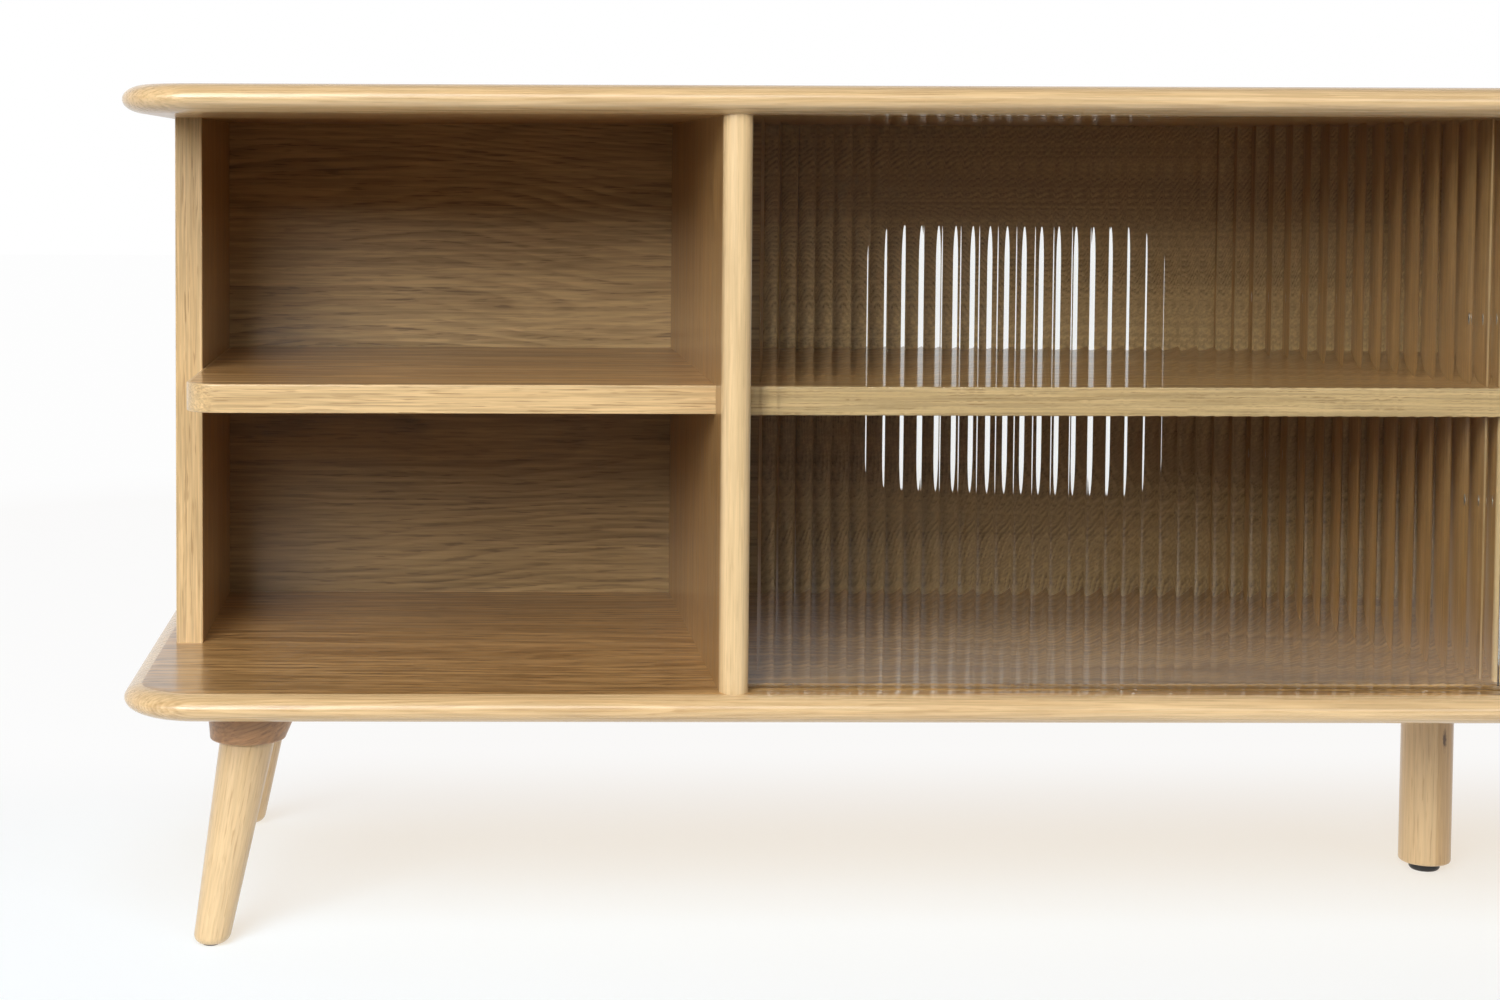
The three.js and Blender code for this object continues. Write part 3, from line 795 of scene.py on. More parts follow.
        colour = s.over(self.light, self.band_strength, band, self.tint)
        colour = s.over(colour, self.streak_strength, streak, self.dark)
        colour = s.over(colour, self.ring_strength, ring_dark, self.dark)
        deep, raised = 1 - self.FIBRE_DARK * self.fibre_strength, 1 + self.FIBRE_LIGHT * self.fibre_strength
        colour = s.vector("MULTIPLY", colour, s.spread(fibre, deep, raised))
        colour = s.over(colour, self.pore_strength, pores, self.pore)
        relief = s.math("SUBTRACT", s.math("MULTIPLY", fibre, self.FIBRE_RELIEF), pores)
        rough = s.spread(fibre, self.roughness - self.SMOOTHER, self.roughness + self.ROUGHER)
        return colour, relief, rough


@dataclass(frozen=True)
class LippedWood(Lacquered):
    """Veneer on a core with a strip of solid wood all round its edge.

    Attributes:
        veneer: The veneer.
        strip: The solid strip.
        half: The board's half length and half depth.
        corner: Its plan radius.
        strip_width: Width of the strip.
        joint: Width over which one wood turns to the other.
    """

    veneer: Wood
    strip: Wood
    half: tuple[float, float]
    corner: float
    strip_width: float
    joint: float = 0.4 * MM

    def look(self, s: Shading) -> Look:
        """The colour, relief and roughness of whichever wood is there.

        A place's distance from the rectangle of the corners' centres, as seen from above, is the corner's
        radius at the board's edge and falls inwards. The wood is solid past that radius less the strip's
        width.

        Args:
            s: The material's nodes.

        Returns:
            The three sockets.
        """
        above_all = 1.0  # over the boards' heights, so that the height doesn't count
        centres = (self.half[0] - self.corner, self.half[1] - self.corner, above_all)
        past = s.vector("SUBTRACT", s.vector("ABSOLUTE", s.place()), centres)
        distance = s.length(s.vector("MAXIMUM", past, (0.0, 0.0, 0.0)))
        start = self.corner - self.strip_width
        share = s.range(distance, start - self.joint / 2, start + self.joint / 2)
        inner, outer = self.veneer.look(s), self.strip.look(s)
        relief, rough = (s.between(share, inner[i], outer[i]) for i in (1, 2))
        return s.mix(share, inner[0], outer[0]), relief, rough


@dataclass(frozen=True)
class Knot:
    """A small upright knot.

    Attributes:
        place: Its X and Z.
        size: Its half width and half height.
        colour: Its colour.
        cells: Cells of its ragged edge in a metre.
        ragged: How far the edge strays, in half sizes.
        edge: Where it fades out and where it is whole, in half sizes.
        strength: Share of its colour where it is whole.
    """

    place: tuple[float, float]
    size: tuple[float, float]
    colour: Colour = (0.10, 0.052, 0.024)
    cells: Cells = (900.0, 900.0, 250.0)
    ragged: float = 0.3
    edge: tuple[float, float] = (1.2, 0.4)
    strength: float = 0.95

    def over(self, s: Shading, where: Socket, colour: Socket) -> Socket:
        """The colour, turned to the knot's where the knot is.

        The knot's share falls with the distance from its middle, counted in its half sizes and bent by noise.

        Args:
            s: The material's nodes.
            where: The place.
            colour: The wood's colour.

        Returns:
            The colour.
        """
        offset = s.vector("SUBTRACT", where, (self.place[0], 0.0, self.place[1]))
        offset = s.vector("MULTIPLY", offset, (1 / self.size[0], 0.0, 1 / self.size[1]))
        ragged = s.spread(s.noise(where, self.cells), -self.ragged, self.ragged)
        distance = s.math("ADD", s.length(offset), ragged)
        return s.over(colour, self.strength, s.range(distance, *self.edge), self.colour)


@dataclass(frozen=True)
# On the back panels this joins a lighter and a darker copy of one veneer: painted light and painted shade.
class JoinedWood(Lacquered):
    """Two woods joined side by side along a fine line.

    Attributes:
        low: The wood before the seam.
        high: The wood past it.
        axis: X or Z, across the seam.
        seam: Where the seam is on that axis.
        knot: A knot in them, if there is one.
        joint: Width over which one wood turns to the other.
        glue: How dark the seam is.
        glue_reach: How far from the seam its dark line fades out.
    """

    low: Wood
    high: Wood
    axis: str
    seam: float
    knot: Knot | None = None
    joint: float = 0.3 * MM
    glue: float = 0.5
    glue_reach: float = 0.6 * MM

    def look(self, s: Shading) -> Look:
        """The colour, relief and roughness of whichever wood is there, darker at the seam.

        Args:
            s: The material's nodes.

        Returns:
            The three sockets.
        """
        where = s.place()
        past = s.math("SUBTRACT", s.apart(where)[self.axis], self.seam)
        low, relief, rough = self.low.look(s)
        colour = s.mix(s.range(past, -self.joint / 2, self.joint / 2), low, self.high.look(s)[0])
        line = s.range(s.math("ABSOLUTE", past), self.glue_reach, 0.0)
        colour = s.over(colour, self.glue, line, self.low.dark)
        if self.knot:
            colour = self.knot.over(s, where, colour)
        return colour, relief, rough


@dataclass(frozen=True)
class Metal(Finish):
    """Brushed bright metal.

    Attributes:
        colour: Its colour.
        roughness: Between its scratches.
    """

    colour: Colour
    roughness: float = 0.28

    TONE_CELLS, SCRATCH_CELLS = (260.0, 260.0, 260.0), (400.0, 400.0, 5000.0)
    DARKEST, LIGHTEST = 0.9, 1.04
    SMOOTHER, ROUGHER = 0.06, 0.08

    def shader(self, s: Shading) -> Socket:
        """The metal, with fine scratches in its roughness and a slow change of tone.

        Args:
            s: The material's nodes.

        Returns:
            The shader.
        """
        place = s.place()
        tone = s.spread(s.noise(place, self.TONE_CELLS), self.DARKEST, self.LIGHTEST)
        scratch = s.noise(place, self.SCRATCH_CELLS)
        return s.principled(
            Base_Color=s.vector("MULTIPLY", self.colour, tone),
            Metallic=1.0,
            Roughness=s.spread(scratch, self.roughness - self.SMOOTHER, self.roughness + self.ROUGHER),
        )


@dataclass(frozen=True)
class Plastic(Finish):
    """Moulded plastic with a fine grain.

    Attributes:
        colour: Its colour.
        worn: Its colour where it is worn.
        roughness: Its roughness.
    """

    colour: Colour
    worn: Colour
    roughness: float = 0.4

    WORN_CELLS, GRAIN_CELLS = (150.0, 150.0, 150.0), (2500.0, 2500.0, 2500.0)
    WORN_SPAN = (0.45, 0.75)
    RELIEF, RELIEF_DEPTH = 0.25, 0.05 * MM
    SMOOTHER, ROUGHER = 0.05, 0.1

    def shader(self, s: Shading) -> Socket:
        """The plastic, a little lighter where it is worn, with a fine moulded grain.

        Args:
            s: The material's nodes.

        Returns:
            The shader.
        """
        place = s.place()
        worn = s.range(s.noise(place, self.WORN_CELLS, 3.0), *self.WORN_SPAN)
        grain = s.noise(place, self.GRAIN_CELLS)
        return s.principled(
            Base_Color=s.mix(worn, self.colour, self.worn),
            Roughness=s.spread(grain, self.roughness - self.SMOOTHER, self.roughness + self.ROUGHER),
            Normal=s.bump(grain, self.RELIEF, self.RELIEF_DEPTH),
        )


@dataclass(frozen=True)
class Glass(Finish):
    """Clear glass that lets lamps through to what it shuts in.

    Attributes:
        colour: Its colour.
        index: Its index of refraction.
        passing: The share of each colour of lamp light that goes through it.
        haze: Its greatest roughness.
    """

    colour: Colour = (0.97, 0.985, 0.975)
    index: float = 1.52
    passing: Colour = (0.9, 0.91, 0.9)
    haze: float = 0.03

    HAZE_CELLS, HAZE_SPAN = (6.0, 6.0, 3.0), (0.35, 0.75)

    def shader(self, s: Shading) -> Socket:
        """The glass, for which rays from lamps and from dull surfaces go straight through.

        Args:
            s: The material's nodes.

        Returns:
            The shader.
        """
        haze = s.range(s.noise(s.place(), self.HAZE_CELLS), *self.HAZE_SPAN, 0.0, self.haze)
        glass = s.principled(Base_Color=self.colour, Roughness=haze, IOR=self.index, Transmission_Weight=1.0)
        clear = s.made("BsdfTransparent", self.passing).outputs["BSDF"]
        rays = s.node("LightPath").outputs
        through = s.math("MAXIMUM", rays["Is Shadow Ray"], rays["Is Diffuse Ray"])
        return s.mix_shaders(through, glass, clear)


@dataclass(frozen=True)
class Floor(Finish):
    """Pale seamless floor that fades into the white round it.

    Attributes:
        name: The material's name.
        shade: What it shows of the light and shadow on it.
        glow: What it shows without them.
        white: What it glows with where it is white.
        near: Within this distance it shows both.
        far: Past this distance it is white.
        backdrop: Behind the object, where it starts to turn white and where it is.
        backdrop_share: How white it is there.
        dull_reach: In front, where it starts to darken and where it is dark, as dull surfaces see it.
        glossy_reach: The same as it shows in glossy surfaces.
        darkest: The share of its light that is left there.
        dust: How far its tone changes.
    """

    name: str = "pale_floor"
    shade: Colour = (0.28, 0.42, 0.56)
    glow: Colour = (0.70, 0.60, 0.50)
    white: Colour = (0.985, 0.985, 0.985)
    near: float = 1.2
    far: float = 2.6
    backdrop: tuple[float, float] = (0.06, 0.4)
    backdrop_share: float = 0.85
    dull_reach: tuple[float, float] = (0.3, 0.75)
    glossy_reach: tuple[float, float] = (0.8, 1.5)
    darkest: float = 0.01
    dust: float = 0.01

    DUST_CELLS = (3.0, 3.0, 3.0)

    def level(self, s: Shading, y: Socket) -> Socket:
        """The share of its light that a ray sees: less in front, where only the camera sees it bright.

        Args:
            s: The material's nodes.
            y: How far back the place is.

        Returns:
            The share.
        """
        rays = s.node("LightPath").outputs
        dull, glossy = (
            s.range(y, -end, -start, self.darkest, 1.0) for start, end in (self.dull_reach, self.glossy_reach)
        )
        return s.math("MAXIMUM", s.between(rays["Is Glossy Ray"], dull, glossy), s.seen())

    def shader(self, s: Shading) -> Socket:
        """The floor: its glow and its shading, both turning to white far away and behind the object.

        Args:
            s: The material's nodes.

        Returns:
            The shader.
        """
        place = s.place()
        dust = s.spread(s.noise(place, self.DUST_CELLS, 3.0), 1 - self.dust, 1 + self.dust)
        y = s.apart(place)["Y"]
        level = self.level(s, y)
        away = s.range(s.length(place), self.near, self.far)
        away = s.math("MAXIMUM", away, s.range(y, *self.backdrop, 0.0, self.backdrop_share))
        shade = s.vector("MULTIPLY", s.mix(away, self.shade, (0.0, 0.0, 0.0)), dust)
        lit = s.made("BsdfDiffuse", s.vector("MULTIPLY", shade, level)).outputs["BSDF"]
        glow = s.made("Emission", s.mix(away, self.glow, self.white), level).outputs["Emission"]
        return s.made("AddShader", lit, glow).outputs[0]


VENEER = Wood(
    "oak_veneer",
    light=(0.52, 0.308, 0.120),
    dark=(0.31, 0.172, 0.058),
    pore=(0.13, 0.066, 0.022),
    tint=(0.42, 0.237, 0.087),
)
# Painted light: a lighter copy of the back veneer for the upper bays' backs, standing in for the light that
# falls on them.
UPPER_BACK_PAINTED_LIGHT_VENEER = Wood(
    "oak_upper_back_painted_light",
    light=(0.57, 0.392, 0.180),
    dark=(0.30, 0.186, 0.078),
    pore=(0.13, 0.075, 0.032),
    tint=(0.48, 0.325, 0.145),
    ring_width=4.0 * MM,
    wander=28 * MM,
    ring_strength=0.7,
    streak_strength=0.2,
)
# Painted shade: a darker copy of the same veneer for the lower bays' backs.
LOWER_BACK_PAINTED_SHADE_VENEER = replace(
    UPPER_BACK_PAINTED_LIGHT_VENEER,
    name="oak_lower_back_painted_shade",
    light=(0.41, 0.275, 0.120),
    dark=(0.21, 0.128, 0.050),
    tint=(0.33, 0.215, 0.092),
)
# The back panels turn from the darker copy to the lighter one at the shelves' height: painted shade below,
# painted light above.
BACK_PAINTED_LIGHT_AND_SHADE = JoinedWood("oak_back_painted_light_and_shade", LOWER_BACK_PAINTED_SHADE_VENEER, UPPER_BACK_PAINTED_LIGHT_VENEER, axis="Z", seam=344.4 * MM)
BANDING = Wood(
    "oak_banding",
    light=(0.645, 0.455, 0.232),
    dark=(0.47, 0.305, 0.133),
    pore=(0.32, 0.19, 0.075),
    tint=(0.605, 0.412, 0.20),
    ring_width=1.7 * MM,
    wander=6 * MM,
    ring_strength=0.3,
    pore_strength=0.75,
    band_strength=0.5,
    streak_strength=0.35,
    fineness=1.7,
)
UPRIGHT_EDGE = Wood(
    "oak_upright_edge",
    light=(0.70, 0.505, 0.27),
    dark=(0.55, 0.37, 0.17),
    pore=(0.38, 0.235, 0.10),
    tint=(0.66, 0.46, 0.23),
    ring_width=5 * MM,
    wander=8 * MM,
    ring_strength=0.35,
    pore_strength=0.45,
    band_strength=0.35,
    streak_strength=0.12,
    fibre_strength=0.5,
    fineness=1.6,
)
LIPPING = Wood(
    "solid_oak_edge",
    light=(0.70, 0.50, 0.268),
    dark=(0.44, 0.265, 0.108),
    pore=(0.36, 0.205, 0.08),
    tint=(0.60, 0.40, 0.19),
    ring_width=1.7 * MM,
    wander=8 * MM,
    ring_strength=0.45,
    pore_strength=0.28,
    band_strength=0.5,
    streak_strength=0.25,
    fibre_strength=0.6,
    fineness=1.4,
    shift=(3.1, 0.021, 0.033),
    roughness=0.28,
)
BOARD_VENEER = replace(
    VENEER,
    name="oak_board_veneer",
    light=(0.59, 0.35, 0.138),
    dark=(0.30, 0.16, 0.052),
    ring_width=9 * MM,
    wander=30 * MM,
    pore_strength=0.8,
    band_strength=0.85,
    streak_strength=0.8,
    fineness=0.8,
)
# Painted light: the shelves get a lighter copy of the boards' veneer, standing in for more light on them.
SHELF_PAINTED_LIGHT_VENEER = replace(BOARD_VENEER, name="oak_shelf_painted_light", light=(0.65, 0.395, 0.165))
BOARD_WOOD = LippedWood(
    "board_oak", BOARD_VENEER, LIPPING, half=(870 * MM, 200 * MM), corner=48 * MM, strip_width=11 * MM
)
LEG_WOOD = Wood(
    "leg_oak",
    light=(0.63, 0.455, 0.25),
    dark=(0.54, 0.365, 0.178),
    pore=(0.38, 0.235, 0.105),
    tint=(0.62, 0.44, 0.232),
    ring_width=2.2 * MM,
    wander=4 * MM,
    ring_strength=0.15,
    pore_strength=0.55,
    band_strength=0.4,
    streak_strength=0.05,
    fibre_strength=0.45,
    fineness=1.5,
)
DARK_STAVE = replace(
    LEG_WOOD,
    name="leg_oak_stave",
    light=(0.52, 0.35, 0.172),
    dark=(0.42, 0.27, 0.12),
    tint=(0.50, 0.33, 0.158),
    shift=(1.7, 0.04, 0.02),
)
CENTRE_LEG_WOOD = JoinedWood(
    "staved_oak",
    LEG_WOOD,
    DARK_STAVE,
    axis="X",
    seam=16.6 * MM,
    knot=Knot((21.3 * MM, 95.5 * MM), (1.6 * MM, 8 * MM)),
)
BROWN_WOOD = Wood(
    "brown_wood",
    light=(0.44, 0.235, 0.10),
    dark=(0.30, 0.15, 0.060),
    pore=(0.18, 0.088, 0.036),
    tint=(0.38, 0.198, 0.084),
    ring_width=3.0 * MM,
    wander=8 * MM,
    ring_strength=0.6,
    roughness=0.45,
)
BEECH = Wood(
    "beech",
    light=(0.62, 0.42, 0.25),
    dark=(0.52, 0.33, 0.18),
    pore=(0.36, 0.2, 0.1),
    tint=(0.58, 0.38, 0.21),
    pore_strength=0.3,
    roughness=0.6,
)
NICKEL = Metal("nickel", (0.72, 0.70, 0.66))
BLACK_PLASTIC = Plastic("black_plastic", (0.012, 0.012, 0.013), (0.03, 0.03, 0.031))
CLEAR_GLASS = Glass("clear_glass")


@dataclass
class Finishes:
    """The materials, made once."""

    veneer: bpy.types.Material = field(default_factory=VENEER.material)
    # lighter above the shelves and darker below them: painted light and painted shade
    back: bpy.types.Material = field(default_factory=BACK_PAINTED_LIGHT_AND_SHADE.material)
    banding: bpy.types.Material = field(default_factory=BANDING.material)
    upright_edge: bpy.types.Material = field(default_factory=UPRIGHT_EDGE.material)
    board: bpy.types.Material = field(default_factory=BOARD_WOOD.material)
    # a lighter copy of the boards' veneer: painted light
    shelf: bpy.types.Material = field(default_factory=SHELF_PAINTED_LIGHT_VENEER.material)
    leg: bpy.types.Material = field(default_factory=LEG_WOOD.material)
    centre_leg: bpy.types.Material = field(default_factory=CENTRE_LEG_WOOD.material)
    brown: bpy.types.Material = field(default_factory=BROWN_WOOD.material)
    beech: bpy.types.Material = field(default_factory=BEECH.material)
    nickel: bpy.types.Material = field(default_factory=NICKEL.material)
    plastic: bpy.types.Material = field(default_factory=BLACK_PLASTIC.material)
    glass: bpy.types.Material = field(default_factory=CLEAR_GLASS.material)


# -------------------- Sub-assemblies

SIDE_NAMES = {-1: "left", 1: "right"}
X_AXIS, Y_AXIS, Z_AXIS = (1.0, 0.0, 0.0), (0.0, 1.0, 0.0), (0.0, 0.0, 1.0)


@dataclass
class Fixings:
    """Bolts, dowels and shelf supports, by the holes that they need.

    Attributes:
        gap: Round each of them, and at its end.
        bolt_radius: Leg bolts.
        bolt_in_leg: Depth in the leg.
        bolt_in_board: Depth in the board.
        dowel_radius: Dowels of the open shelves.
        dowel_in_upright: Depth in the upright.
        peg_radius: Shelf supports' pegs.
        peg_step: From one hole of a row to the next.
        peg_lift: Peg's axis over the shelf's underside.
        web: Wood left between the holes that meet in the partition.
    """

    gap: float = 0.3 * MM
    bolt_radius: float = 4 * MM
    bolt_in_leg: float = 40 * MM
    bolt_in_board: float = 10 * MM
    dowel_radius: float = 4 * MM
    dowel_in_upright: float = 11 * MM
    peg_radius: float = 2.5 * MM
    peg_step: float = 58 * MM
    peg_lift: float = 1.2 * MM
    web: float = 1.4 * MM

    def dowel_places(self, side: str) -> list[tuple[float, float]]:
        """The y and z of the two dowels at one end of an open shelf."""
        boxes = [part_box(f"{side}_shelf_dowel_outer_{end}") for end in ("front", "rear")]
        return [((low.y + high.y) / 2, (low.z + high.z) / 2) for low, high in boxes]

    def dowel_holes(self, side: str, x: float, into: int) -> list[Bore]:
        """Holes for a shelf's dowels in the face at x of an upright.

        Args:
            side: "left" or "right".
            x: The face.
            into: 1 if the holes go towards +X, else -1.

        Returns:
            The two holes.
        """
        run = (into * (self.dowel_in_upright + self.gap), 0.0, 0.0)
        radius = self.dowel_radius + self.gap
        return [Bore((x, y, z), radius, run, Y_AXIS, Z_AXIS) for y, z in self.dowel_places(side)]

    def peg_places(self) -> list[tuple[float, float, bool]]:
        """The y and z of the holes on one face, with True for a spare one.

        Returns:
            The six places.
        """
        boxes = [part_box(f"left_shelf_support_outer_{end}") for end in ("front", "rear")]
        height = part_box("left_glass_bay_shelf")[0].z + self.peg_lift
        return [
            ((low.y + high.y) / 2, height + row * self.peg_step, row != 0)
            for low, high in boxes
            for row in (-1, 0, 1)
        ]

    def peg_holes(self, x: float, into: int, thick: float) -> list[Bore]:
        """Two rows of three holes for shelf supports in the face at x of an upright.

        Args:
            x: The face.
            into: 1 if the holes go towards +X, else -1.
            thick: The upright's thickness.

        Returns:
            The six holes.
        """
        run = (into * (thick - self.web) / 2, 0.0, 0.0)
        radius = self.peg_radius + self.gap
        return [Bore((x, y, z), radius, run, Y_AXIS, Z_AXIS) for y, z, _ in self.peg_places()]

    def bolt_hole(self, mouth: Array, way: Array) -> Bore:
        """The hole for a leg's bolt in the board, from its mouth the given way for each metre up."""
        run = way * (self.bolt_in_board + self.gap)
        return Bore(tuple(mouth), self.bolt_radius + self.gap, tuple(run), X_AXIS, Y_AXIS)


@dataclass
class LongBoard:
    """A long board with round edges, round plan corners and two grooves for the doors.

    Attributes:
        node: The frame's node.
        grooves_below: True for grooves in the underside, False for grooves in the upper face.
        groove_depth: Their depth.
        groove_gap: Room on each side of the glass in its groove.
        corner: Plan radius of the corners.
        edge_reach: How far in from its edge the board starts to round off.
        edge_land: Flat halfway up the round edge.
        bores: Holes in the underside.
        heart: The log's centre line from the board's middle, across it and into it.
        log_step: Along the log for each metre of height, which tells one board from the other.
    """

    CORNER_STEPS, EDGE_STEPS = 20, 18

    node: str
    grooves_below: bool
    groove_depth: float
    groove_gap: float = 0.6 * MM
    corner: float = 48 * MM
    edge_reach: float = 16 * MM
    edge_land: float = 0.2 * MM
    bores: list[Bore] = field(default_factory=list)
    heart: tuple[float, float] = (0.42, -0.2)
    log_step: float = 3.0

    def groove_rings(self, z: float) -> list[Array]:
        """The outline of each groove at height z.

        Args:
            z: The height.

        Returns:
            The two outlines.
        """
        x0, x1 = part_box("left_divider")[1].x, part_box("right_divider")[0].x
        rings = []
        for door in ("left_glass_door", "right_glass_door"):
            low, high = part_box(door)
            y0, y1 = low.y - self.groove_gap, high.y + self.groove_gap
            rings.append(np.array([[x0, y0, z], [x1, y0, z], [x1, y1, z], [x0, y1, z]]))
        return rings

    def build(self, finishes: Finishes) -> bpy.types.Object:
        """Makes the board: a half ellipse carried round its plan, two faces, grooves and holes.

        Args:
            finishes: The materials.

        Returns:
            The piece.
        """
        low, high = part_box(self.node)
        thick = high.z - low.z
        outline = rounded_rectangle(low, high, (self.corner,) * 4, low.z, steps=self.CORNER_STEPS)
        rise = (thick - self.edge_land) / 2
        edge = carried(outline, edge_profile(thick, self.edge_reach, rise, self.EDGE_STEPS))
        skin = Skin()
        skin.grid(edge, closed=True)
        face_z = low.z if self.grooves_below else high.z
        into = self.groove_depth if self.grooves_below else -self.groove_depth
        grooves = self.groove_rings(face_z)
        for mouth in grooves:
            floor = mouth + [0.0, 0.0, into]
            skin.grid(np.stack([mouth, floor], axis=1), closed=True)
            skin.flat([floor])
        for hole in self.bores:
            skin.bore(hole)
        mouths = [hole.mouth() for hole in self.bores]
        skin.flat([edge[:, 0], *(grooves if self.grooves_below else []), *mouths])
        skin.flat([edge[:, -1], *([] if self.grooves_below else grooves)])
        centre = (low + high) / 2
        grain = Grain.about(GrainAxis.BOARD, centre, self.heart, centre.z * self.log_step)
        return finish_piece(
            self.node, skin, [finishes.board], replaces=[self.node], grain=grain.coordinates
        )


@dataclass
class Upright:
    """A side panel, divider or partition: a solid front edge, and a rabbet for each back panel it holds.

    Attributes:
        node: The frame's node.
        front_round: Radius of the two front edges.
        lap_left: True if it holds a back panel on its left.
        lap_right: The same on its right.
        holes_left: Holes in the left face.
        holes_right: Holes in the right face.
        solid_front: True if the front edge is a solid lipping.
        lap: How far a back panel laps on.
        lipping_depth: Front edge to the end of the lipping.
        tuck: How far its ends reach into the boards, whose edges round off just in front of it.
        support: How far the last points of its front rounds lie from them.
        heart: The log's centre line from the upright's middle, across it and into it.
        log_step: Along the log for each metre of x, which tells one upright from the next.
    """

    node: str
    front_round: float
    lap_left: bool
    lap_right: bool
    holes_left: list[Bore] = field(default_factory=list)
    holes_right: list[Bore] = field(default_factory=list)
    solid_front: bool = True
    lap: float = 6 * MM
    lipping_depth: float = 10 * MM
    tuck: float = 1 * MM
    support: float = 0.5 * MM
    heart: tuple[float, float] = (0.33, 0.13)
    log_step: float = 2.7

    def build(self, finishes: Finishes) -> bpy.types.Object:
        """Makes the upright: a front path and a rear path raised to its height, and a flat face on each side.

        Args:
            finishes: The materials.

        Returns:
            The piece.
        """
        low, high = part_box(self.node)
        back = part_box("left_open_bay_back")[0].y - Fixings.gap
        foot, head = low.z - self.tuck, high.z + self.tuck
        radii = (self.front_round, self.front_round, 0.0, 0.0)
        plan = rounded_rectangle(low, high, radii, foot, support=self.support).points
        seam = low.y + self.lipping_depth
        front = np.vstack([[low.x, seam, foot], plan[:-2], [high.x, seam, foot]])  # without the rear corners
        left_lap, right_lap = self.lap * self.lap_left, self.lap * self.lap_right
        rear = [[high.x, back, foot], [high.x - right_lap, back, foot], [high.x - right_lap, high.y, foot]]
        rear += [[low.x + left_lap, high.y, foot], [low.x + left_lap, back, foot], [low.x, back, foot]]
        rear = np.array(rear)
        rise = np.array([0.0, 0.0, head - foot])
        skin = Skin()
        skin.grid(np.stack([front, front + rise], axis=1), finish=1)
        skin.grid(np.stack([rear, rear + rise], axis=1))
        for x, holes in ((low.x, self.holes_left), (high.x, self.holes_right)):
            face = np.array([[x, seam, foot], [x, back, foot], [x, back, head], [x, seam, head]])
            skin.flat([face, *(hole.mouth() for hole in holes)])
            for hole in holes:
                skin.bore(hole)
        loop = np.vstack([front, rear])
        keep = np.linalg.norm(loop - np.roll(loop, 1, axis=0), axis=1) > WELD
        skin.flat([loop[keep]])
        skin.flat([loop[keep] + rise])
        centre = (low + high) / 2
        grain = Grain.about(GrainAxis.UPRIGHT, centre, self.heart, centre.x * self.log_step)
        materials = [finishes.veneer, finishes.upright_edge if self.solid_front else finishes.banding]
        return finish_piece(
            self.node, skin, materials, replaces=[self.node], grain=grain.coordinates
        )


@dataclass
class Shelf:
    """A shelf with eased edges where they are free.

    Attributes:
        node: The frame's node.
        radii: Plan radii: front left, front right, rear right, rear left.
        sides: The sides with eased edges.
        ease: Radius of the eased edges.
        heart: The log's centre line from the shelf's middle, across it and into it.
        log_start: Along the log to the middle of the cabinet.
        log_step: Along the log for each metre of x, which tells one shelf from the next.
    """

    EDGE_STEPS = 4

    node: str
    radii: tuple[float, float, float, float]
    sides: Sides
    ease: float = 0.8 * MM
    heart: tuple[float, float] = (-0.3, -0.24)
    log_start: float = 5.0
    log_step: float = 1.9

    def build(self, finishes: Finishes) -> bpy.types.Object:
        """Makes the shelf: an eased edge carried round its plan, and two faces.

        Args:
            finishes: The materials.

        Returns:
            The piece.
        """
        low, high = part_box(self.node)
        outline = rounded_rectangle(low, high, self.radii, low.z, self.sides)
        edge = carried(outline, edge_profile(high.z - low.z, self.ease, self.ease, self.EDGE_STEPS))
        skin = Skin()
        skin.grid(edge, finish=1, closed=True)
        skin.flat([edge[:, 0]])
        skin.flat([edge[:, -1]])
        centre = (low + high) / 2
        along = centre.x * self.log_step + self.log_start
        grain = Grain.about(GrainAxis.BOARD, centre, self.heart, along)
        materials = [finishes.shelf, finishes.banding]
        return finish_piece(
            self.node, skin, materials, replaces=[self.node], grain=grain.coordinates
        )


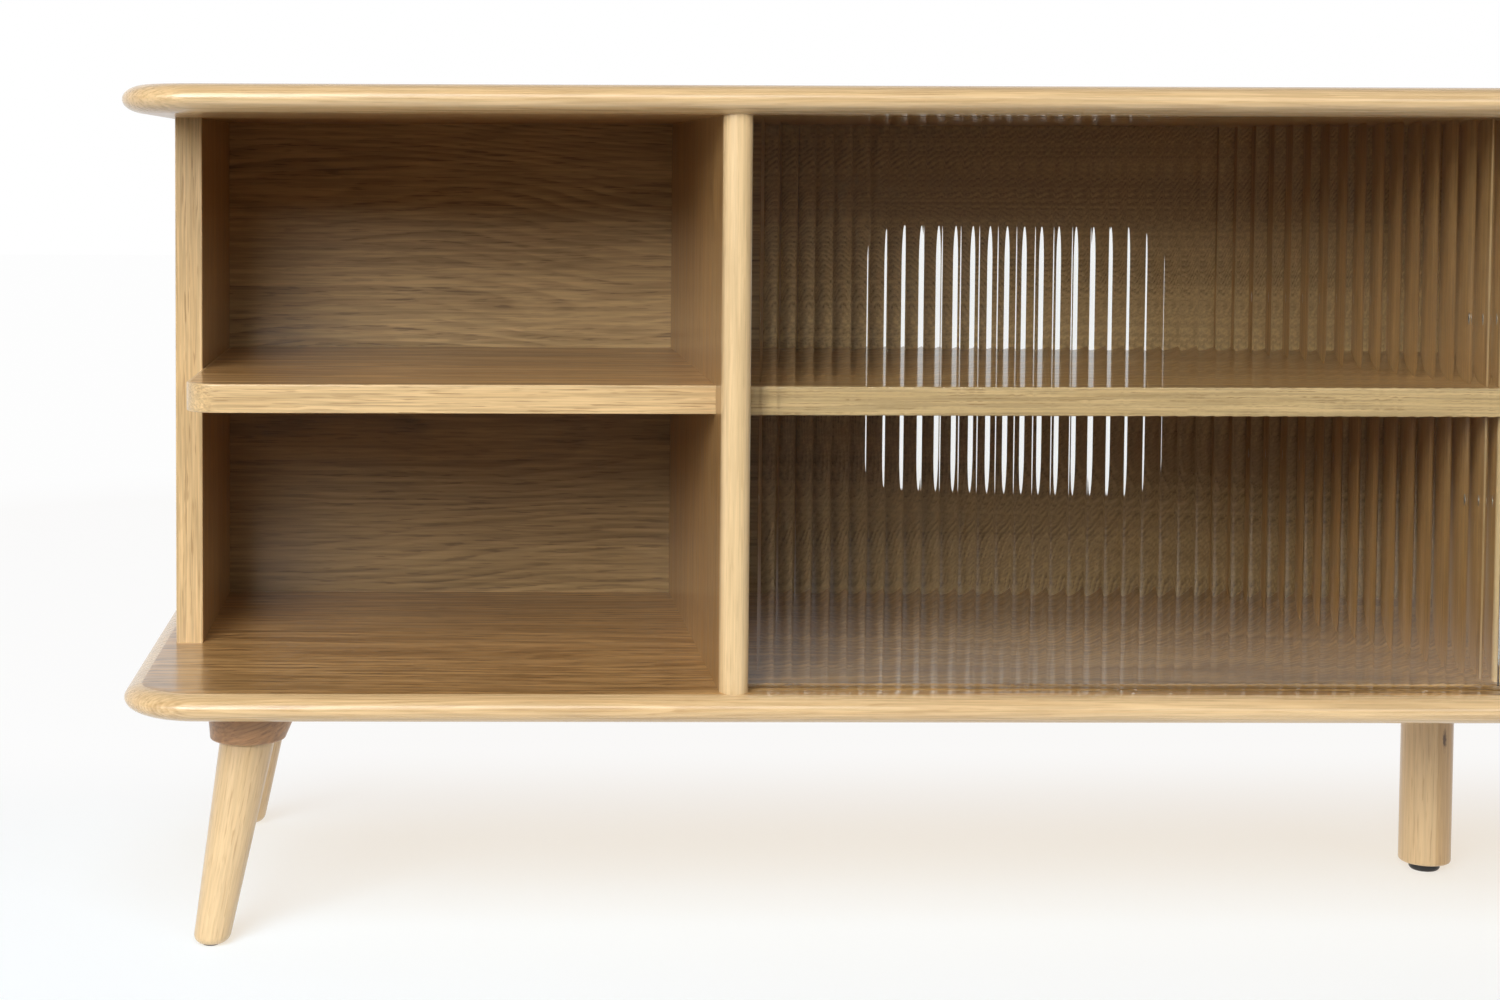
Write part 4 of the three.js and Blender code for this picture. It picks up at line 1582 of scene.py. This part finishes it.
@dataclass
class BackPanel:
    """A veneered back panel, with or without an upright cable slot.

    Attributes:
        node: The frame's node.
        heart: The log's centre line from the panel's middle, up it and into it.
        slot_width: Width of the cable slot, or 0.
        slot_height: Its height over its round ends.
        ease: Radius of the slot's edges.
        log_start: Along the log to the middle of the cabinet.
        log_step: Along the log for each metre of x, which tells one panel from the next.
    """

    ROUND_STEPS, EDGE_STEPS = 32, 3

    node: str
    heart: tuple[float, float]
    slot_width: float = 0.0
    slot_height: float = 0.0
    ease: float = 0.6 * MM
    log_start: float = 7.0
    log_step: float = 2.3

    def slot_outline(self, centre: Vector) -> Outline:
        """The slot's outline in the panel's plane: two half circles joined by straight sides.

        Args:
            centre: Middle of the slot.

        Returns:
            The outline, whose way inwards goes into the wood.
        """
        radius = self.slot_width / 2
        straight = self.slot_height / 2 - radius
        a = np.linspace(0.0, math.pi, self.ROUND_STEPS + 1)
        way = np.stack([np.cos(a), 0 * a, np.sin(a)], axis=1)
        upper = way * radius + [0.0, 0.0, straight]
        points = np.vstack([upper, -upper]) + np.array(centre)
        return Outline(points, np.vstack([way, -way]))

    def build(self, finishes: Finishes) -> bpy.types.Object:
        """Makes the panel: two faces, an outer wall and the slot's wall with eased edges.

        Args:
            finishes: The materials.

        Returns:
            The piece.
        """
        low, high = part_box(self.node)
        thick = high.y - low.y
        centre = (low + high) / 2
        plan = [(low.x, low.z), (high.x, low.z), (high.x, high.z), (low.x, high.z)]
        front = np.array([[x, low.y, z] for x, z in plan])
        deep = np.array([0.0, thick, 0.0])
        skin = Skin()
        skin.grid(np.stack([front, front + deep], axis=1), closed=True)
        holes = []
        if self.slot_width:
            outline = self.slot_outline(Vector((centre.x, low.y, centre.z)))
            lip = edge_profile(thick, self.ease, self.ease, self.EDGE_STEPS, SUPPORT)
            wall = outline.points[:, None] + outline.inward[:, None] * lip[None, :, :1]
            wall[..., 1] += lip[None, :, 1]
            skin.grid(wall, closed=True)
            holes = [wall[:, 0], wall[:, -1]]
        skin.flat([front, *holes[:1]])
        skin.flat([front + deep, *holes[1:]], finish=1)
        grain = Grain.about(GrainAxis.BACK, centre, self.heart, centre.x * self.log_step + self.log_start)
        materials = [finishes.back, finishes.veneer]
        return finish_piece(
            self.node, skin, materials, replaces=[self.node], grain=grain.coordinates
        )


@dataclass
class FlutedDoor:
    """A sliding door of clear glass with hollow flutes on its front face.

    Attributes:
        node: The frame's node.
        body: The body that it slides with.
        pitch: From one ridge to the next.
        flute: Radius of each hollow.
        ridge: Radius of each ridge.
        margin: Least plain strip along each upright edge.
        flute_steps: Facets across a hollow.
        ridge_steps: Facets across a ridge.
    """

    node: str
    body: str
    pitch: float = 11.216 * MM
    flute: float = 11.24 * MM
    ridge: float = 2.18 * MM
    margin: float = 4 * MM
    flute_steps: int = 18
    ridge_steps: int = 10

    def front_line(self, width: float) -> Array:
        """Distance along the door and depth behind the ridges, for points across its fluted face.

        A ridge is an arc of its radius about a point one radius behind the ridge line, and a hollow is an arc
        about a point in front of it. They share a tangent at asin(half a pitch / the sum of the radii), so
        the face has no fold.

        Args:
            width: The door's width.

        Returns:
            (N, 2) array from edge to edge.
        """
        count = int((width - 2 * self.margin) / self.pitch)
        start = (width - count * self.pitch) / 2
        lean = math.asin(self.pitch / 2 / (self.flute + self.ridge))
        half = np.linspace(0.0, lean, self.ridge_steps // 2 + 1)
        leaving = np.stack([self.ridge * np.sin(half), self.ridge * (1 - np.cos(half))], axis=1)
        hollow_angle = np.linspace(-lean, lean, self.flute_steps + 1)[1:-1]
        centre = self.ridge - (self.flute + self.ridge) * math.cos(lean)
        out_of_middle = self.flute * np.stack([np.sin(hollow_angle), np.cos(hollow_angle)], axis=1)
        hollow = [self.pitch / 2, centre] + out_of_middle
        meeting = (leaving * [-1, 1] + [self.pitch, 0])[::-1]
        unit = np.vstack([leaving, hollow, meeting[:-1]])
        shifts = np.stack([start + self.pitch * np.arange(count), np.zeros(count)], axis=1)
        flutes = (unit[None] + shifts[:, None]).reshape(-1, 2)
        return np.vstack([[0.0, 0.0], flutes, [start + count * self.pitch, 0.0], [width, 0.0]])

    def build(self, finishes: Finishes) -> bpy.types.Object:
        """Makes the door: its cross-section, from the fluted face to the flat one, raised to its height.

        Args:
            finishes: The materials.

        Returns:
            The piece.
        """
        low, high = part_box(self.node)
        line = self.front_line(high.x - low.x)
        front = np.stack([low.x + line[:, 0], low.y + line[:, 1], 0 * line[:, 0] + low.z], axis=1)
        back = front * [1, 0, 1] + [0, high.y, 0]
        rise = np.array([0.0, 0.0, high.z - low.z])
        section = np.stack([front, back], axis=1)
        skin = Skin()
        skin.grid(section)
        skin.grid(section + rise)
        skin.grid(np.stack([front, front + rise], axis=1))
        skin.grid(np.stack([back, back + rise], axis=1))
        for end in (0, -1):
            skin.grid(np.stack([section[end], section[end] + rise], axis=1))
        return finish_piece(self.node, skin, [finishes.glass], self.body, [self.node])


def turned_piece(
    name: str,
    profile: Array,
    placed: Callable[[Array], Array],
    material: bpy.types.Material,
    grain: Callable[[Array], Array] | None = None,
) -> bpy.types.Object:
    """A turned piece that stands for the frame's node of its name.

    Args:
        name: The piece's and the node's name.
        profile: (T, 2) radius and height about the piece's own axis.
        placed: Takes points from the piece's own axis to the frame.
        material: Its finish.
        grain: Gives the wood coordinates of an array of points, for a wooden piece.

    Returns:
        The piece.
    """
    skin = Skin()
    skin.grid(placed(turned(profile)), closed=True)
    return finish_piece(name, skin, [material], replaces=[name], grain=grain)


@dataclass
class CornerLeg:
    """A raked leg with its brown block and its pad.

    Attributes:
        corner: Its place, such as "front_left".
        turns: Quarter turns about Z from the front left corner.
        leg_height: Floor to the board.
        block_height: Height of the block.
        block_top: Block's radius at the board.
        block_foot: Its radius at the leg.
        block_round: Radius of its lower edge.
        splay: Outward lean in X and in Y from the block to the floor.
        top_radius: Leg's radius at the block.
        foot_radius: Leg's radius at the floor.
        foot_round: Radius of its lower edge.
        pad_radius: Pad's radius.
        pad_thick: Pad's thickness.
        inset: Leg's axis at the block, from each edge of the board.
        leg_heart: The log's centre line from the leg's axis.
        block_heart: The same for the block, up from its lower face and across it.
        block_slant: Cosine and sine of the slant of the block's grain.
        log_step: Along the log from one corner to the next.
    """

    corner: str
    turns: int
    leg_height: float = 150 * MM
    block_height: float = 24 * MM
    block_top: float = 30.3 * MM
    block_foot: float = 24.3 * MM
    block_round: float = 2 * MM
    splay: float = 21.6 * MM
    top_radius: float = 17.5 * MM
    foot_radius: float = 11.7 * MM
    foot_round: float = 6 * MM
    pad_radius: float = 5 * MM
    pad_thick: float = 1 * MM
    inset: float = 74.5 * MM
    leg_heart: tuple[float, float] = (0.06, -0.045)
    block_heart: tuple[float, float] = (0.05, -0.03)
    block_slant: tuple[float, float] = (0.94, 0.34)
    log_step: float = 3.0

    @property
    def drop(self) -> float:
        """Floor to the block's lower face."""
        return self.leg_height - self.block_height

    @property
    def turn(self) -> tuple[int, int]:
        """Cosine and sine of the leg's turn about Z."""
        return round(math.cos(self.turns * QUARTER)), round(math.sin(self.turns * QUARTER))

    def place(self) -> Array:
        """The middle of the block's lower face.

        Returns:
            The place.
        """
        low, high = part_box("bottom_board")
        x, y = (high.x - low.x) / 2 - self.inset, (high.y - low.y) / 2 - self.inset
        c, s = self.turn
        return np.array([(s - c) * x, -(s + c) * y, self.drop])

    def raked(self, points: Array) -> Array:
        """Leans upright points outwards and turns them to the corner: x and y move by z * splay / drop.

        Args:
            points: (..., 3) points about an upright axis, from the lower face of the block.

        Returns:
            The points in the frame.
        """
        lean = self.splay / self.drop
        x, y = points[..., 0] + lean * points[..., 2], points[..., 1] + lean * points[..., 2]
        c, s = self.turn
        return np.stack([c * x - s * y, s * x + c * y, points[..., 2]], axis=-1) + self.place()

    def upright(self, points: Array) -> Array:
        """The same backwards: points on the raked leg, as they are on an upright one.

        Args:
            points: (N, 3) points in the frame.

        Returns:
            The points about an upright axis.
        """
        lean = self.splay / self.drop
        p = points - self.place()
        c, s = self.turn
        x, y = c * p[:, 0] + s * p[:, 1], -s * p[:, 0] + c * p[:, 1]
        return np.stack([x - lean * p[:, 2], y - lean * p[:, 2], p[:, 2]], axis=1)

    def board_bore(self, fixings: Fixings) -> Bore:
        """The hole for this leg's bolt in the board's underside, which leans as the leg does."""
        mouth, above = self.raked(np.array([[0.0, 0.0, self.block_height + up] for up in (0, 1)]))
        return fixings.bolt_hole(mouth, above - mouth)

    def profiles(self, fixings: Fixings) -> tuple[Array, Array, Array]:
        """Radius and height of the block, the leg and the pad, counted from the block's lower face.

        Args:
            fixings: The bolts' sizes.

        Returns:
            The three profiles.
        """
        bore = fixings.bolt_radius + fixings.gap
        bore_end = -fixings.bolt_in_leg - fixings.gap
        foot = self.pad_thick - self.drop
        block_edge = self.block_foot - self.block_round
        block = [
            [bore, 0.0],
            [block_edge - SUPPORT, 0.0],
            quarter_round((block_edge, self.block_round), self.block_round),
            [self.block_top, self.block_height],
            [bore, self.block_height],
            [bore, 0.0],
        ]
        leg = [
            [0.0, foot],
            [self.pad_radius, foot],
            quarter_round((self.foot_radius - self.foot_round, foot + self.foot_round), self.foot_round),
            [self.top_radius, 0.0],
            [bore, 0.0],
            [bore, bore_end],
            [0.0, bore_end],
        ]
        pad = [[0.0, -self.drop], [self.pad_radius, -self.drop], [self.pad_radius, foot], [0.0, foot]]
        return np.vstack(block), np.vstack(leg), np.vstack(pad)

    def leg_grain(self, points: Array) -> Array:
        """Wood coordinates along the leg, with the heart well outside it.

        Args:
            points: (N, 3) points in the frame.

        Returns:
            Wood coordinates, one row for each point.
        """
        p = self.upright(points)
        along = p[:, 2] + self.log_step * self.turns
        return np.stack([along, p[:, 0] - self.leg_heart[0], p[:, 1] - self.leg_heart[1]], axis=1)

    def block_grain(self, points: Array) -> Array:
        """Wood coordinates across the block at a slant.

        Args:
            points: (N, 3) points in the frame.

        Returns:
            Wood coordinates, one row for each point.
        """
        p = self.upright(points)
        c, s = self.block_slant
        along = p[:, 0] * c + p[:, 2] * s + self.log_step * self.turns
        up = p[:, 2] * c - p[:, 0] * s
        return np.stack([along, up - self.block_heart[0], p[:, 1] - self.block_heart[1]], axis=1)

    def build(self, finishes: Finishes, fixings: Fixings) -> list[bpy.types.Object]:
        """Makes the block, the leg and the pad as turned forms, leant outwards.

        Args:
            finishes: The materials.
            fixings: The bolts' sizes.

        Returns:
            The pieces.
        """
        block, leg, pad = self.profiles(fixings)
        return [
            turned_piece(f"{self.corner}_{part}", profile, self.raked, material, grain)
            for part, profile, material, slot, grain in (
                ("leg_block", block, finishes.brown, "brown_wood", self.block_grain),
                ("leg", leg, finishes.leg, "leg_oak", self.leg_grain),
                ("foot_pad", pad, finishes.plastic, "black_plastic", None),
            )
        ]


@dataclass
class CentreLeg:
    """The upright leg at mid-length and its black glide.

    Attributes:
        foot_round: Radius of the leg's lower edge.
        glide_round: Radius of the glide's lower edge.
        stem_radius: Glide's stem.
        stem: Length of the stem.
        heart: The log's centre line from the leg's axis.
        log_start: Along the log to the floor.
    """

    foot_round: float = 2.5 * MM
    glide_round: float = 3.2 * MM
    stem_radius: float = 4 * MM
    stem: float = 22 * MM
    heart: tuple[float, float] = (-0.05, 0.06)
    log_start: float = 17.0

    def axis(self) -> Array:
        """The foot of the leg's axis."""
        low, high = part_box("centre_leg")
        return np.array([(low.x + high.x) / 2, (low.y + high.y) / 2, 0.0])

    def placed(self, points: Array) -> Array:
        """Points about the leg's axis, in the frame."""
        return points + self.axis()

    def grain(self, points: Array) -> Array:
        """Wood coordinates along the leg."""
        p = points - self.axis()
        return np.stack([p[:, 2] + self.log_start, p[:, 0] - self.heart[0], p[:, 1] - self.heart[1]], axis=1)

    def board_bore(self, fixings: Fixings) -> Bore:
        """The hole for its bolt in the board's underside."""
        up = np.array(Z_AXIS)
        return fixings.bolt_hole(self.axis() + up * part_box("centre_leg")[1].z, up)

    def profiles(self, fixings: Fixings) -> tuple[Array, Array]:
        """Radius and height over the floor of the leg and the glide.

        Args:
            fixings: The bolts' sizes.

        Returns:
            The two profiles.
        """
        (low, high), glide_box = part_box("centre_leg"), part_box("centre_leg_glide")
        radius, glide_radius = (high.x - low.x) / 2, (glide_box[1].x - glide_box[0].x) / 2
        bolt, stem = fixings.bolt_radius + fixings.gap, self.stem_radius + fixings.gap
        stem_top = low.z + self.stem
        bolt_foot = high.z - fixings.bolt_in_leg - fixings.gap
        edge, glide_edge = radius - self.foot_round, glide_radius - self.glide_round
        leg = [
            [0.0, stem_top + fixings.gap],
            [stem, stem_top + fixings.gap],
            [stem, low.z],
            [edge - SUPPORT, low.z],
            quarter_round((edge, low.z + self.foot_round), self.foot_round),
            [radius, low.z + self.foot_round + SUPPORT],
            [radius, high.z],
            [bolt, high.z],
            [bolt, bolt_foot],
            [0.0, bolt_foot],
        ]
        glide = [
            [0.0, 0.0],
            [glide_edge - SUPPORT / 2, 0.0],
            quarter_round((glide_edge, self.glide_round), self.glide_round),
            [glide_radius, low.z],
            [self.stem_radius, low.z],
            [self.stem_radius, stem_top],
            [0.0, stem_top],
        ]
        return np.vstack(leg), np.vstack(glide)

    def build(self, finishes: Finishes, fixings: Fixings) -> list[bpy.types.Object]:
        """Makes the leg and the glide as turned forms.

        Args:
            finishes: The materials.
            fixings: The bolts' sizes.

        Returns:
            The pieces.
        """
        leg, glide = self.profiles(fixings)
        return [
            turned_piece("centre_leg", leg, self.placed, finishes.centre_leg, self.grain),
            turned_piece("centre_leg_glide", glide, self.placed, finishes.plastic),
        ]


@dataclass
class Sleeves:
    """Nickel sleeves in the spare holes of one face.

    Attributes:
        name: The piece's name.
        x: The face.
        out: 1 if the face looks along +X, else -1.
        flange: Radius of the sleeve's flange.
        flange_round: How far in from there its edge rounds off.
        lip: How far the flange stands out.
        inner: Radius of its bore.
        inner_round: Radius of the bore's edge.
        depth: How deep it goes.
        slack: Between the sleeve and its hole.
    """

    FACETS, EDGE_STEPS = 32, 5

    name: str
    x: float
    out: int
    flange: float = 3.9 * MM
    flange_round: float = 0.6 * MM
    lip: float = 0.7 * MM
    inner: float = 2.1 * MM
    inner_round: float = 0.4 * MM
    depth: float = 6 * MM
    slack: float = 0.05 * MM

    def build(self, finishes: Finishes, fixings: Fixings) -> bpy.types.Object:
        """Makes the sleeves: a domed flange on a short tube, turned about each hole's axis.

        Args:
            finishes: The materials.
            fixings: The holes' places.

        Returns:
            The piece.
        """
        outer = fixings.peg_radius + fixings.gap - self.slack
        a = np.linspace(0.0, QUARTER, self.EDGE_STEPS + 1)
        dome = np.stack([self.flange - self.flange_round * (1 - np.cos(a)), self.lip * np.sin(a)], axis=1)
        mouth = (self.inner, self.lip - self.inner_round)
        inside = (mouth + self.inner_round * np.stack([np.cos(a), np.sin(a)], axis=1))[::-1]
        tube = [[self.inner, -self.depth], [outer, -self.depth]]
        form = turned(np.vstack([tube[1:], [outer, 0.0], dome, inside, tube]), self.FACETS)
        lying = np.stack([self.out * form[..., 2], form[..., 0], form[..., 1]], axis=-1)
        skin = Skin()
        for y, z, spare in fixings.peg_places():
            if spare:
                skin.grid(lying + [self.x, y, z], closed=True)
        return finish_piece(self.name, skin, [finishes.nickel])


@dataclass
class Carcass:
    """Boards, uprights, shelves and back panels.

    Attributes:
        fixings: The fixings' sizes.
        top_groove: Depth of the grooves in the top board.
        bottom_groove: Depth of the grooves in the bottom board, less than the doors can be lifted.
        top_heart: The log's centre line of the top board.
        upright_round: Makes the dividers' and the partition's front edges nearly half round.
        panel_round: Radius of the side panels' front edges.
        banding: Thickness of the side panels' edge banding.
        shelf_corner: Plan radius of the open shelves' free corners.
        cable_slot: Width and height of the cable slots.
        open_back_heart: The log's centre line of the open bays' back panels, mirrored in the left one.
        glass_back_heart: The same of the glass bays' back panels.
    """

    fixings: Fixings = field(default_factory=Fixings)
    top_groove: float = 11 * MM
    bottom_groove: float = 6 * MM
    top_heart: tuple[float, float] = (-0.37, -0.16)
    upright_round: float = 8.4 * MM
    panel_round: float = 0.8 * MM
    banding: float = 1.6 * MM
    shelf_corner: float = 22 * MM
    cable_slot: tuple[float, float] = (60 * MM, 202 * MM)
    open_back_heart: tuple[float, float] = (0.03, 0.09)
    glass_back_heart: tuple[float, float] = (-0.06, 0.11)

    def build(self, finishes: Finishes, board_bores: list[Bore]) -> None:
        """Makes every fixed wooden piece.

        Args:
            finishes: The materials.
            board_bores: The bolt holes in the bottom board.
        """
        LongBoard("top_board", True, self.top_groove, heart=self.top_heart).build(finishes)
        LongBoard("bottom_board", False, self.bottom_groove, bores=board_bores).build(finishes)
        self.partition(finishes)
        for side in (-1, 1):
            self.half(side, finishes)

    def partition(self, finishes: Finishes) -> None:
        """Makes the centre partition and its sleeves.

        Args:
            finishes: The materials.
        """
        low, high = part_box("centre_partition")
        thick = high.x - low.x
        holes = [self.fixings.peg_holes(x, into, thick) for x, into in ((low.x, 1), (high.x, -1))]
        Upright("centre_partition", self.upright_round, True, True, *holes).build(finishes)
        Sleeves("partition_left_sleeves", low.x, -1).build(finishes, self.fixings)
        Sleeves("partition_right_sleeves", high.x, 1).build(finishes, self.fixings)

    def half(self, side: int, finishes: Finishes) -> None:
        """Makes one half of the cabinet.

        Args:
            side: -1 for the left, 1 for the right.
            finishes: The materials.
        """
        label, fixings = SIDE_NAMES[side], self.fixings
        left_half = side < 0
        panel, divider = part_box(f"{label}_side_panel"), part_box(f"{label}_divider")
        panel_face = panel[1 if left_half else 0].x
        divider_out, divider_in = (divider[i].x for i in ((0, 1) if left_half else (1, 0)))
        thick = divider[1].x - divider[0].x

        # The holes of an upright go from its outer face to its inner one, and -side puts the left one first.
        none: list[Bore] = []
        faces = [none, fixings.dowel_holes(label, panel_face, side)][::-side]
        laps = (not left_half, left_half)
        banded = {"solid_front": False, "lipping_depth": self.banding}
        Upright(f"{label}_side_panel", self.panel_round, *laps, *faces, **banded).build(finishes)
        faces = [fixings.dowel_holes(label, divider_out, -side), fixings.peg_holes(divider_in, side, thick)]
        Upright(f"{label}_divider", self.upright_round, True, True, *faces[::-side]).build(finishes)
        Sleeves(f"{label}_divider_sleeves", divider_in, -side).build(finishes, fixings)

        radii = (self.shelf_corner, 0.0, 0.0, 0.0) if left_half else (0.0, self.shelf_corner, 0.0, 0.0)
        ends = Sides(rear=False, right=not left_half, left=left_half)
        Shelf(f"{label}_open_shelf", radii, ends).build(finishes)
        front_only = Sides(rear=False, right=False, left=False)
        Shelf(f"{label}_glass_bay_shelf", (0.0,) * 4, front_only).build(finishes)

        open_heart = (self.open_back_heart[0] * side, self.open_back_heart[1])
        BackPanel(f"{label}_open_bay_back", open_heart).build(finishes)
        BackPanel(f"{label}_glass_bay_back", self.glass_back_heart, *self.cable_slot).build(finishes)


@dataclass
class CarriedOver:
    """The frame's own nodes that stay, with better finishes."""

    def dress(self, finishes: Finishes) -> None:
        """Gives dowels, supports, bolts and runners their finishes.

        Args:
            finishes: The materials.
        """
        kinds = {
            "shelf_dowel": finishes.beech,
            "shelf_support": finishes.nickel,
            "bolt": finishes.nickel,
            "runner": finishes.plastic,
        }
        for name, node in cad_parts.items():
            for kind, material in kinds.items():
                if kind in name and not node.hide_render:
                    node.material_slots[0].material = material
                    LOG.info("%s keeps its form", name)


# -------------------- Studio


@dataclass(frozen=True)
class Lamp:
    """A soft rectangular lamp.

    Attributes:
        name: Its name.
        place: Its middle.
        size: Its width and height.
        radiance: Its brightness, where 1 is white.
        towards: What it points at.
    """

    name: str
    place: tuple[float, float, float]
    size: tuple[float, float]
    radiance: float
    towards: tuple[float, float, float] = (-0.45, 0.0, 0.3)

    def hang(self) -> None:
        """Puts the lamp in the scene. Its power is its radiance times pi times its area."""
        light = bpy.data.lights.new(self.name, "AREA")
        light.shape = "RECTANGLE"
        light.size, light.size_y = self.size
        light.energy = self.radiance * math.pi * self.size[0] * self.size[1]
        lamp = bpy.data.objects.new(self.name, light)
        lamp.location = self.place
        lamp.rotation_euler = (Vector(self.towards) - Vector(self.place)).to_track_quat("-Z", "Y").to_euler()
        bpy.context.scene.collection.objects.link(lamp)


@dataclass
class Studio:
    """A pale floor, soft lamps from the front, a white surround behind and a camera.

    Attributes:
        lamps: The lamps.
        front_level: Brightness of the surround in front.
        back_level: Its brightness behind.
        overhead_level: The share of that overhead.
        turn_span: Y of the directions between which the front turns to the back.
        overhead_span: Z of the directions between which the surround dims.
        floor_half: Half the floor's side.
        sensor: Width of the camera's sensor in millimetres.
        lens: Its focal length in millimetres.
        shift: Camera's shift, as shares of the sensor's width.
        eye: Camera's place.
        yaw: Its turn to the right, in radians.
        pitch: Its turn downwards.
        roll: Its turn about its axis.
    """

    lamps: tuple[Lamp, ...] = (
        Lamp("key", (-2.2, -3.9, 2.15), (2.5, 2.0), 10.3),
        Lamp("low", (-1.5, -2.9, 1.35), (1.2, 0.7), 3.2),
        Lamp("left", (-4.6, -3.2, 1.5), (2.2, 2.0), 2.4),
        Lamp("right", (2.2, -4.0, 2.2), (2.4, 2.0), 2.9),
        Lamp("high", (-0.9, -2.3, 2.6), (2.0, 1.2), 5.0),
    )
    front_level: float = 0.02
    back_level: float = 1.0
    overhead_level: float = 0.25
    turn_span: tuple[float, float] = (-0.15, 0.35)
    overhead_span: tuple[float, float] = (0.3, 0.75)
    floor_half: float = 12.0
    sensor: float = 36.0
    lens: float = 60.78
    shift: tuple[float, float] = (0.18335, -0.13552)
    eye: tuple[float, float, float] = (-0.66552, -1.72001, 0.48981)
    yaw: float = 0.0085
    pitch: float = 0.0518
    roll: float = -0.0033

    def floor(self) -> None:
        """Lays the floor, a flat square."""
        half = self.floor_half
        mesh = bpy.data.meshes.new("floor")
        corners = np.array([[-half, -half, 0], [half, -half, 0], [half, half, 0], [-half, half, 0]], float)
        mesh.from_pydata(corners.tolist(), [], [[0, 1, 2, 3]])
        mesh.materials.append(Floor().material())
        floor = bpy.data.objects.new("floor", mesh)
        bpy.context.scene.collection.objects.link(floor)

    def world(self) -> None:
        """Lights the surround: white where it is seen, plain behind the object and dim in front of it."""
        world = bpy.data.worlds.new("studio")
        bpy.context.scene.world = world
        s = Shading(world)
        way = s.apart(s.node("TexCoord").outputs["Generated"])
        level = s.range(way["Y"], *self.turn_span, self.front_level, self.back_level)
        level = s.math("MULTIPLY", level, s.range(way["Z"], *self.overhead_span, 1.0, self.overhead_level))
        soft = s.made("Background", (1.0, 1.0, 1.0), level).outputs[0]
        white = s.made("Background", (1.0, 1.0, 1.0)).outputs[0]
        s.output(s.mix_shaders(s.seen(), soft, white), "World")

    def camera(self) -> None:
        """Sets up the camera from its place and its three turns."""
        ahead = Vector(
            (
                math.sin(self.yaw) * math.cos(self.pitch),
                math.cos(self.yaw) * math.cos(self.pitch),
                -math.sin(self.pitch),
            )
        )
        level = Vector((math.cos(self.yaw), -math.sin(self.yaw), 0.0))
        above = level.cross(ahead)
        right = math.cos(self.roll) * level - math.sin(self.roll) * above
        up = math.sin(self.roll) * level + math.cos(self.roll) * above
        data = bpy.data.cameras.new("camera")
        data.sensor_width = self.sensor
        data.lens = self.lens
        data.shift_x, data.shift_y = self.shift
        camera = bpy.data.objects.new("camera", data)
        turn = Matrix((right, up, -ahead)).transposed()
        camera.matrix_world = Matrix.Translation(self.eye) @ turn.to_4x4()
        bpy.context.scene.collection.objects.link(camera)
        bpy.context.scene.camera = camera

    def build(self) -> None:
        """Sets the whole studio."""
        bpy.context.scene.view_settings.view_transform = "Standard"
        self.camera()
        self.floor()
        self.world()
        for lamp in self.lamps:
            lamp.hang()


def main() -> None:
    """Builds the cabinet and its studio."""
    logging.basicConfig(level=logging.INFO, format="%(name)s %(message)s")
    finishes, fixings = Finishes(), Fixings()
    Studio().build()
    corners = ("front_left", "front_right", "rear_right", "rear_left")
    legs = [CornerLeg(corner, turns) for turns, corner in enumerate(corners)]
    centre_leg = CentreLeg()
    bores = [leg.board_bore(fixings) for leg in legs] + [centre_leg.board_bore(fixings)]
    Carcass(fixings).build(finishes, bores)
    for leg in legs:
        leg.build(finishes, fixings)
    centre_leg.build(finishes, fixings)
    FlutedDoor("left_glass_door", "left_door").build(finishes)
    FlutedDoor("right_glass_door", "right_door").build(finishes)
    CarriedOver().dress(finishes)


if __name__ == "__main__":
    main()
